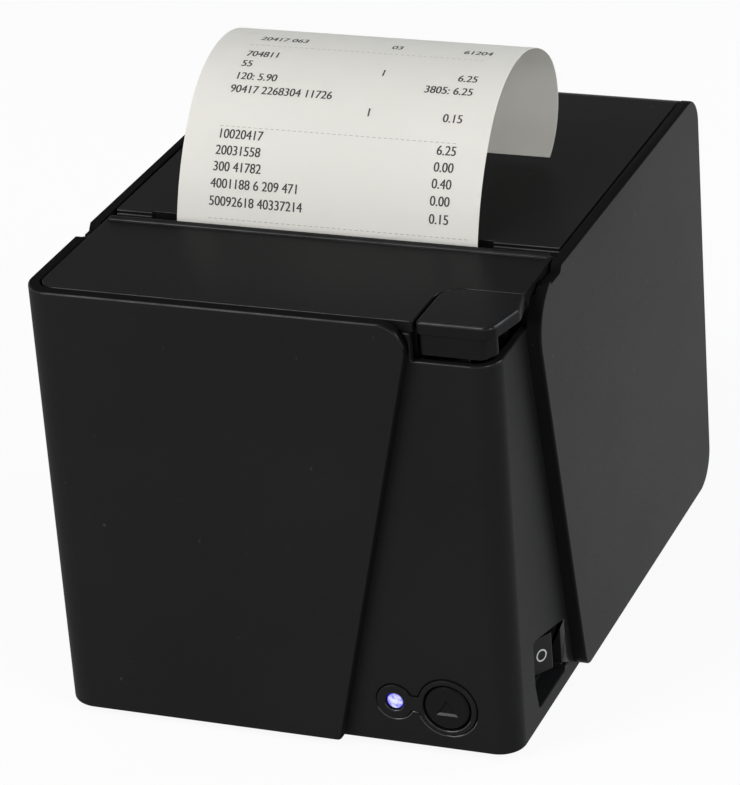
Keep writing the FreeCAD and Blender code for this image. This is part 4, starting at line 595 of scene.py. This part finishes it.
def softened(node, width, cutter=None):
    """Welded copy of a CAD node with its sharp edges rounded by a width in millimetres, and engraved."""
    made = bmesh.new()
    made.from_mesh(nodes[node].data)
    bmesh.ops.remove_doubles(made, verts=made.verts, dist=WELD)
    bmesh.ops.dissolve_limit(made, angle_limit=FLAT_ANGLE, verts=made.verts, edges=made.edges)
    for face in made.faces:
        face.smooth = True
    draft = linked("draft", plain_mesh(made, node))
    add_mask_slots(draft.data)
    if width:
        bevel = draft.modifiers.new("rounding", "BEVEL")
        bevel.width = width * MM
        bevel.segments = ROUNDING_STEPS
        bevel.limit_method = "ANGLE"
        bevel.angle_limit = SHARP_ANGLE
        bevel.use_clamp_overlap = False
        bevel.material = -1 if cutter else EDGE
    else:
        draft.data.set_sharp_from_angle(angle=SHARP_ANGLE)
    if cutter:
        engraving = draft.modifiers.new("engraving", "BOOLEAN")
        engraving.object = cutter
        engraving.solver = "EXACT"
    draft.modifiers.new("flat_faces", "WEIGHTED_NORMAL").keep_sharp = True
    return masked(node, settle(draft, node + "_piece"))


for node in sorted(nodes):
    if node in PAPER_NODES:
        continue
    piece = softened(node, ROUNDING.get(node, 0), ENGRAVING.get(node))
    dress(piece, OWN_FINISH.get(node, FINISH[slot_of[node]]), body_of[node])
    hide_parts(node)
bpy.data.objects.remove(ENGRAVING["feed_button"])
print("softened", len(nodes) - len(PAPER_NODES), "solids")

# %% [markdown]
# ## Paper
# The slip that stands in the slot and the web from the roll to the print line are one kind of paper. A cloth
# simulation could drape them, but paper bends one way only and hardly stretches. Such a sheet is a row of
# tangent arcs, so it is walked with a heading: straight, then one arc after another. That follows the
# photographed curl closely, and the same walk gives the place of the print.

# %% Walk along a bent strip
FRAME_SHIFT = Vector((0, -78.0, 2.0))  # from the drawing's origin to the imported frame's, in millimetres


class Strip:
    """A bent strip: bends are (radius, degrees), or (None, length) for a straight run, in millimetres."""

    def __init__(self, start, heading, bends):
        self.runs = []
        y, z = start
        angle = math.radians(heading)
        at = 0.0
        for radius, amount in bends:
            length = amount if radius is None else radius * abs(math.radians(amount))
            turn = 0.0 if radius is None else math.radians(amount)
            self.runs.append((at, length, turn, y, z, angle))
            (y, z), angle = self.walk(self.runs[-1], length)
            at += length
        self.length = at

    def walk(self, run, distance):
        """Place and heading so far along a run."""
        _, length, turn, y, z, angle = run
        if turn == 0:
            return (y + distance * math.sin(angle), z + distance * math.cos(angle)), angle
        radius = length / turn
        ahead = angle + turn * distance / length
        moved_y = y + radius * (math.cos(angle) - math.cos(ahead))
        moved_z = z + radius * (math.sin(ahead) - math.sin(angle))
        return (moved_y, moved_z), ahead

    def point(self, x, distance, lift=0.0):
        """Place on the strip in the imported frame, lifted off its front or outer face."""
        run = next((r for r in reversed(self.runs) if distance >= r[0]), self.runs[0])
        (y, z), angle = self.walk(run, distance - run[0])
        y -= lift * math.cos(angle)
        z += lift * math.sin(angle)
        return (Vector((x, y, z)) + FRAME_SHIFT) * MM


print("strips can be walked")

# %% Sheet along a strip
PAPER_X, PAPER_Y = -1.2, 47.4
PAPER_W = 79.5
PAPER_THICK = 0.12
CREASE = math.radians(50)


def bent_sheet(name, strip, across, along):
    """Closed thin sheet with a UV map that runs over its outer face."""
    made = bmesh.new()
    uv = made.loops.layers.uv.new("sheet")
    rows = []
    for step in range(along + 1):
        distance = strip.length * step / along
        places = [PAPER_X + PAPER_W * (column / across - 0.5) for column in range(across + 1)]
        rows.append([made.verts.new(strip.point(x, distance)) for x in places])
    for step in range(along):
        for column in range(across):
            spots = ((column, step), (column + 1, step), (column + 1, step + 1), (column, step + 1))
            face = made.faces.new([rows[v][u] for u, v in spots])
            face.smooth = True
            for loop, (u, v) in zip(face.loops, spots):
                loop[uv].uv = (u / across, v / along)
    draft = linked("draft", plain_mesh(made, name))
    wall = draft.modifiers.new("thickness", "SOLIDIFY")
    wall.thickness = PAPER_THICK * MM
    wall.offset = 0
    piece = settle(draft, name)
    piece.data.set_sharp_from_angle(angle=CREASE)
    return piece


print("sheets are", PAPER_W, "mm wide and", PAPER_THICK, "mm thick")

# %% The slip
SLIP_FOOT = 103.3
SLIP_BENDS = [(None, 1.705), (37.4, 15.5), (57.0, 29.5), (32.5, 83.0), (16.1, 115.0)]
slip_path = Strip((PAPER_Y, SLIP_FOOT), 0, SLIP_BENDS)
slip = bent_sheet("receipt_slip", slip_path, across=20, along=90)
dress(slip, thermal_paper, "slip")
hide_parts("receipt")
print("slip", round(slip_path.length, 1), "mm long")

# %% The web
PLATEN = (53.85, 95.0)
ROLL = (104.0, 52.3)
ROLL_R = 36.0
WRAP_R = 6.45
WEB_TOP, WEB_DROP, WEB_GAP = 101.5, 6.5, 0.45
roll_wrap = ROLL_R + WEB_GAP
reach = math.hypot(ROLL[0] - PLATEN[0], ROLL[1] - PLATEN[1])
spread = math.asin((roll_wrap - WRAP_R) / reach)
web_heading = 90 - math.degrees(math.atan2(ROLL[1] - PLATEN[1], ROLL[0] - PLATEN[0]) - spread)
web_run = math.sqrt(reach ** 2 - (roll_wrap - WRAP_R) ** 2)
web_path = Strip((PAPER_Y, WEB_TOP), 180, [(None, WEB_DROP), (WRAP_R, web_heading - 180), (None, web_run)])
web = bent_sheet("paper_web_sheet", web_path, across=8, along=40)
dress(web, thermal_paper, "housing")
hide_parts("paper_web")
print("web", round(web_path.length, 1), "mm long")

# %% [markdown]
# ## The paper roll
# A wound roll is not a plain cylinder: its turns end a hair apart, so its flat ends show faint rings. A real
# spiral of several hundred turns would be heavy and hardly show. So the roll is turned from a profile whose
# end faces wander by a tenth of a millimetre, and its finish follows the distance from the axis.

# %% Profile of the roll
CORE_R = 9.02
TURN_RINGS, TURN_STEP, SEED = 30, 0.03, 7
END_INSET, END_WANDER = 0.12, 0.11
RIM_DROP, RIM_INSET = 0.4, 0.3


def roll_profile():
    """Closed outline of radius and X from the core over one end, the outside and the other end."""
    rng = np.random.default_rng(SEED)
    radii = np.linspace(CORE_R, ROLL_R - RIM_DROP, TURN_RINGS)
    wander = np.cumsum(rng.normal(0, TURN_STEP, len(radii)))
    inset = END_INSET + np.clip(wander - wander.mean(), -END_WANDER, END_WANDER)
    half = PAPER_W / 2
    left = [(r, -half + i) for r, i in zip(radii, inset)]
    right = [(r, half - i) for r, i in zip(radii[::-1], inset[::-1])]
    return left + [(ROLL_R, -half + RIM_INSET), (ROLL_R, half - RIM_INSET)] + right


profile = roll_profile()
print("profile of", len(profile), "points")

# %% Turn the roll
ROLL_STEPS = 96
roll_axis = (Vector((PAPER_X, *ROLL)) + FRAME_SHIFT) * MM


def turned_roll(name):
    made = bmesh.new()
    rings = []
    for step in range(ROLL_STEPS):
        angle = 2 * math.pi * step / ROLL_STEPS
        places = [Vector((x, r * math.cos(angle), r * math.sin(angle))) * MM for r, x in profile]
        rings.append([made.verts.new(roll_axis + place) for place in places])
    for step in range(ROLL_STEPS):
        here, ahead = rings[step], rings[(step + 1) % ROLL_STEPS]
        for spot in range(len(profile)):
            after = (spot + 1) % len(profile)
            made.faces.new((here[spot], ahead[spot], ahead[after], here[after])).smooth = True
    bmesh.ops.recalc_face_normals(made, faces=made.faces)
    piece = linked(name, plain_mesh(made, name))
    piece.data.set_sharp_from_angle(angle=CREASE)
    return piece


wound = Finish("wound_paper", specular_ior_level=0.3)
turns = wound.node("ShaderNodeTexNoise", {"noise_dimensions": "1D"}, W=wound.from_axis(roll_axis, (0, 1, 1)),
                   Scale=2600.0, Detail=3.0)
wound.set(base_color=wound.mix(turns, grey(0.58, (1, 0.99, 0.96)), grey(0.74, (1, 0.995, 0.98))),
          roughness=0.6 + (turns - 0.5) * 0.2)
wound.bump(turns, 0.00004)
roll = dress(turned_roll("paper_roll_wound"), wound.material, "roll")
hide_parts("paper_roll")
print("roll of", len(roll.data.vertices), "points")

# %% [markdown]
# ## Print on the slip
# The printer writes rows of figures in a narrow type with a steady pitch. An image of the text could be laid
# on the paper, but it would blur when the camera comes close. So Geometry Nodes turn a text into filled
# outlines, and a second tree repeats dashes along a line. Both are made flat and then bent over the slip by
# its own walk, so the print follows every curve of the paper.

# %% Trees for rows and rules
class GrowTree(Wiring):
    """Geometry tree with named inputs, which gives plain mesh pieces."""

    def __init__(self, name, **inputs):
        super().__init__(bpy.data.node_groups.new(name, "GeometryNodeTree"))
        sides = self.tree.interface
        self.sockets = {label: sides.new_socket(label, in_out="INPUT", socket_type="NodeSocket" + kind)
                        for label, kind in inputs.items()}
        sides.new_socket("Geometry", in_out="OUTPUT", socket_type="NodeSocketGeometry")
        self.source = self.tree.nodes.new("NodeGroupInput")

    def given(self, label):
        return Value(self.tree, self.source.outputs[label])

    def close(self, geometry):
        """End the tree: make its copies real, and give them its material."""
        real = self.node("GeometryNodeRealizeInstances", i0=geometry)
        dressed = self.node("GeometryNodeSetMaterial", i0=real, Material=self.given("Material"))
        plug(self.tree, dressed, self.tree.nodes.new("NodeGroupOutput").inputs[0])

    def grow(self, name, **values):
        """Plain mesh piece for these inputs, which are set by the identifiers of their sockets."""
        draft = linked("draft", bpy.data.meshes.new("draft"))
        modifier = draft.modifiers.new("tree", "NODES")
        modifier.node_group = self.tree
        for label, value in values.items():
            modifier[self.sockets[label].identifier] = value
        return settle(draft, name)


printed_row = GrowTree("printed_row", Text="String", Height="Float", Material="Material")
letters = printed_row.node("GeometryNodeStringToCurves", String=printed_row.given("Text"),
                           Size=printed_row.given("Height"))
printed_row.close(printed_row.node("GeometryNodeFillCurve", i0=letters))

repeated_block = GrowTree("repeated_block", Count="Int", Pitch="Float", Size="Vector", Material="Material")
step_along = repeated_block.node("ShaderNodeCombineXYZ", X=repeated_block.given("Pitch"))
line = repeated_block.node("GeometryNodeMeshLine", Count=repeated_block.given("Count"), Offset=step_along)
block = repeated_block.node("GeometryNodeMeshCube", Size=repeated_block.given("Size"))
repeated_block.close(repeated_block.node("GeometryNodeInstanceOnPoints", i0=line, Instance=block))
print("trees for rows and for repeated blocks ready")

# %% Rows and rules of the print
SMALL, LARGE = 3.2, 3.45
LEFT, RIGHT = 0, 1
ROWS = [  # distance along the slip, height of the type, and its columns: text, X and the side it starts from
    (65.5, SMALL, [("20417 063", -30.5, LEFT), ("03", 4.8, LEFT), ("61204", 31.3, RIGHT)]),
    (57.4, SMALL, [("704811", -31.3, LEFT)]),
    (53.5, SMALL, [("55", -31.3, LEFT), ("1", 6.0, LEFT), ("6.25", 31.3, RIGHT)]),
    (49.2, SMALL, [("120: 5.90", -31.5, LEFT), ("3805: 6.25", 31.3, RIGHT)]),
    (45.2, SMALL, [("90417 2268304 11726", -31.7, LEFT)]),
    (41.3, SMALL, [("1", 5.5, LEFT), ("0.15", 30.6, RIGHT)]),
    (32.9, LARGE, [("10020417", -32.2, LEFT), ("6.25", 30.6, RIGHT)]),
    (28.7, LARGE, [("20031558", -32.2, LEFT), ("0.00", 30.6, RIGHT)]),
    (24.6, LARGE, [("300 41782", -32.3, LEFT), ("0.40", 30.6, RIGHT)]),
    (20.4, LARGE, [("4001188 6 209 471", -32.5, LEFT), ("0.00", 30.6, RIGHT)]),
    (16.0, LARGE, [("50092618 40337214", -32.6, LEFT), ("0.15", 30.6, RIGHT)]),
]
RULES = [(62.6, -32.0, 31.5), (36.0, -32.0, 31.0), (12.8, -32.5, 37.0)]  # distance, and X from and to
print(len(ROWS), "rows and", len(RULES), "rules to print")

# %% Print the slip
PITCH = 1.5
INK_LIFT = PAPER_THICK / 2 + 0.015
STRIKES, STRIKE_SHIFT, STRIKE_LIFT = 2, 0.13, 0.004
DASH_PITCH, DASH_SIZE, DASH_START = 1.5, (0.85, 0.07, 0.0), 0.45
SAMPLE = "0000000000"
ink_points, ink_faces = [], []


def widest(piece):
    return max(vertex.co.x for vertex in piece.data.vertices)


def lay_on_slip(piece, x, distance, width=1.0, push=0.0, strikes=1):
    """Bend a flat piece, drawn in millimetres, over the slip into the print: bold is struck twice."""
    for strike in range(strikes):
        first = len(ink_points)
        for vertex in piece.data.vertices:
            flat_x = x + vertex.co.x * width - push + strike * STRIKE_SHIFT
            lift = INK_LIFT + strike * STRIKE_LIFT
            ink_points.append(slip_path.point(flat_x, distance + vertex.co.y, lift))
        ink_faces.extend([first + index for index in face.vertices] for face in piece.data.polygons)
    bpy.data.objects.remove(piece)


figure = printed_row.grow("draft_row", Text=SAMPLE, Height=1.0, Material=ink)
figure_width = widest(figure) / len(SAMPLE)
bpy.data.objects.remove(figure)
for distance, height, columns in ROWS:
    width = PITCH / (figure_width * height)
    for text, x, side in columns:
        row = printed_row.grow("draft_row", Text=text, Height=height, Material=ink)
        lay_on_slip(row, x, distance, width, widest(row) * width if side == RIGHT else 0.0, STRIKES)
for distance, low, high in RULES:
    count = int((high - low) / DASH_PITCH)
    dashes = repeated_block.grow("draft_rule", Count=count, Pitch=DASH_PITCH, Size=DASH_SIZE, Material=ink)
    lay_on_slip(dashes, low + DASH_START, distance)
print_mesh = bpy.data.meshes.new("slip_print")
print_mesh.from_pydata(ink_points, [], ink_faces)
dress(linked("slip_print", print_mesh), ink, "slip")
print("print:", len(ink_faces), "faces")

# %% [markdown]
# ## Marks on the rocker
# A mains rocker carries a ring on one half and a bar on the other, which are usually printed or moulded in
# white. A material could draw them, but thin inlays that stand a hair proud stay sharp at any distance. The
# rocker's two faces slant, so each mark is built on a small flat frame: how far it lies from the middle line,
# how high, and how far out of the face.

# %% Frame of the rocker's faces
ROCKER_PIVOT = Vector((51.4, 30.3, 12.0))
ROCKER_TILT = math.radians(9.0)
DIP = 1.7
SLOPE = Vector((2.5, 6.5)).normalized()
INLAY = 0.05


def on_rocker(height, along, out, side):
    """Place on a half of the rocker: millimetres above its middle, along from its dip, and out of it."""
    x = DIP + SLOPE.x * along + SLOPE.y * out
    y = side * (SLOPE.y * along - SLOPE.x * out)
    turned_x = x * math.cos(ROCKER_TILT) + y * math.sin(ROCKER_TILT)
    turned_y = y * math.cos(ROCKER_TILT) - x * math.sin(ROCKER_TILT)
    return (ROCKER_PIVOT + Vector((turned_x, turned_y, height)) + FRAME_SHIFT) * MM


print("rocker faces tilted by", round(math.degrees(ROCKER_TILT), 1), "degrees")

# %% Rocker marks
MARK_MIDDLE = 3.4
MARK_STEPS = 40
RING = ((1.68, 1.68), (1.28, 1.28))  # half height and half length of the rim and of the hole
BAR = ((0.28, 1.7), (0.02, 1.4))
REAR, FRONT = 1, -1


def ellipse(tall, long):
    angles = [2 * math.pi * step / MARK_STEPS for step in range(MARK_STEPS)]
    return [(tall * math.cos(a), MARK_MIDDLE + long * math.sin(a)) for a in angles]


def inlay(made, mark, side):
    """Closed thin band between the rim and the hole of a mark."""
    layers = []
    for outline in (ellipse(*sizes) for sizes in mark):
        for out in (-INLAY, INLAY):
            layers.append([made.verts.new(on_rocker(height, along, out, side)) for height, along in outline])
    low_rim, high_rim, low_hole, high_hole = layers
    around = (low_rim, high_rim, high_hole, low_hole, low_rim)
    for first, second in zip(around, around[1:]):
        for step in range(MARK_STEPS):
            after = (step + 1) % MARK_STEPS
            made.faces.new((first[step], first[after], second[after], second[step]))


made = bmesh.new()
inlay(made, RING, REAR)
inlay(made, BAR, FRONT)
bmesh.ops.recalc_face_normals(made, faces=made.faces)
marks = dress(linked("rocker_marks", plain_mesh(made, "rocker_marks")), mark_white, "rocker")
print("rocker marks:", len(marks.data.polygons), "faces")

# %% [markdown]
# ## Contacts in the rear sockets
# The two jack sockets at the rear have a row of sprung contacts that slope down from their roof. Each could
# be drawn as a bent wire, but only their ends show. They repeat at a fixed pitch, so the tree of the printed
# dashes makes them too, with gold in place of ink.

# %% Jack contacts
gold = brushed("contact_gold", (0.83, 0.62, 0.25), 0.22, (900, 60, 900))
SOCKETS = {"lan_port": (30.0, 8, 20.2), "drawer_port": (-13.0, 6, 19.4)}  # middle X, count and height
CONTACT_PITCH = 1.02
CONTACT_SIZE = (0.5, 7.5, 0.5)
CONTACT_Y = 147.2
CONTACT_SLOPE = math.radians(20)
for node, (middle, count, level) in SOCKETS.items():
    contacts = repeated_block.grow(node + "_contacts", Count=count, Pitch=CONTACT_PITCH * MM,
                                   Size=tuple(side * MM for side in CONTACT_SIZE), Material=gold)
    first = middle - CONTACT_PITCH * (count - 1) / 2
    place = Matrix.Translation((Vector((first, CONTACT_Y, level)) + FRAME_SHIFT) * MM)
    contacts.data.transform(place @ Matrix.Rotation(CONTACT_SLOPE, 4, "X"))
    dress(contacts, gold, body_of[node])
print("contacts in", len(SOCKETS), "sockets")

# %% [markdown]
# ## Studio
# What a black object reflects is what makes its form readable, so it stands on a pale floor under soft
# lights. An environment picture could light it, but a few lamps can be placed one by one. The broad light
# from the left front shows the front and the slip, a strip above it draws the bright edges, and a cool light
# from the right rear falls along the long side, which also mirrors the floor. A small fill from the upper
# right reaches into the curl, and a weak one overhead lifts the lid. The floor is shown white to the camera
# and in reflections, and still takes the printer's shadow.

# %% Floor
FLOOR_HALF = 6
FLOOR_LEVEL = 0.95
SHOWN_WHITE = 0.92
CORNERS = ((-1, -1), (1, -1), (1, 1), (-1, 1))
sweep = Finish("white_sweep", roughness=0.9, specular_ior_level=0.0, base_color=grey(FLOOR_LEVEL))
to_camera, to_gloss, through = (sweep.node("ShaderNodeLightPath", out=ray) for ray in (
    "Is Camera Ray", "Is Glossy Ray", "Is Transmission Ray"))
seen = to_camera + to_gloss + through
lit = Value(sweep.tree, sweep.shader.outputs[0])
glow = sweep.node("ShaderNodeEmission", Color=grey(1.0))
blend = sweep.node("ShaderNodeMixShader", i0=seen * SHOWN_WHITE, i1=lit, i2=glow)
plug(sweep.tree, blend, sweep.tree.nodes["Material Output"].inputs["Surface"])

floor_mesh = bpy.data.meshes.new("floor")
floor_mesh.from_pydata([(x * FLOOR_HALF, y * FLOOR_HALF, 0) for x, y in CORNERS], [], [(0, 1, 2, 3)])
floor_mesh.materials.append(sweep.material)
floor = linked("floor", floor_mesh)
floor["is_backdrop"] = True
print("floor of", 2 * FLOOR_HALF, "m laid")

# %% Sky
HORIZON, UPPER = (0.1, 0.9), (0.42, 0.14)  # height in the sky and its strength there
world = bpy.data.worlds.new("studio")
world.use_nodes = True
scene.world = world
sky = Wiring(world.node_tree)
sky_height = sky.node("ShaderNodeSeparateXYZ", out="Z", i0=sky.node("ShaderNodeTexCoord", out="Generated"))
strength = sky.ranged(sky_height, HORIZON[0], UPPER[0], HORIZON[1], UPPER[1])
backdrop = sky.tree.nodes["Background"]
plug(sky.tree, strength, backdrop.inputs["Strength"])
plug(sky.tree, grey(1.0), backdrop.inputs["Color"])
print("sky pale at the horizon")

# %% Lamps
WHITE, COLD = (1, 1, 1), (0.84, 0.92, 1.0)
LAMPS = {  # place, aim, width and height in metres, watts and colour
    "overhead": ((-0.3, -0.1, 1.3), (0, 0, 0.05), (0.7, 0.6), 1.2, WHITE),
    "right_rear": ((1.1, 0.7, 0.8), (0, 0, 0.05), (0.6, 0.8), 6.5, COLD),
    "front_fill": ((-0.9, -1.2, 0.7), (0, 0, 0.06), (1.0, 0.8), 10.6, WHITE),
    "edge_strip": ((-0.5, -0.75, 1.15), (0, 0, 0.1), (0.6, 0.3), 4.8, WHITE),
    "right_fill": ((0.95, -0.55, 0.75), (0, 0, 0.12), (0.4, 0.4), 4.6, WHITE),
}
for name, (place, aim, size, power, colour) in LAMPS.items():
    light = bpy.data.lights.new(name, "AREA")
    light.shape = "RECTANGLE"
    light.size, light.size_y = size
    light.energy = power
    light.color = colour
    stand = linked(name, light)
    stand.location = place
    stand.rotation_euler = (Vector(aim) - Vector(place)).to_track_quat("-Z", "Y").to_euler()
print(len(LAMPS), "soft lamps")

# %% [markdown]
# ## Close
# The box of the finished scene, without the floor, is measured and printed.

# %% Measure the scene's box
low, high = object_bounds()
print("visual box", [round(v, 4) for v in high - low])
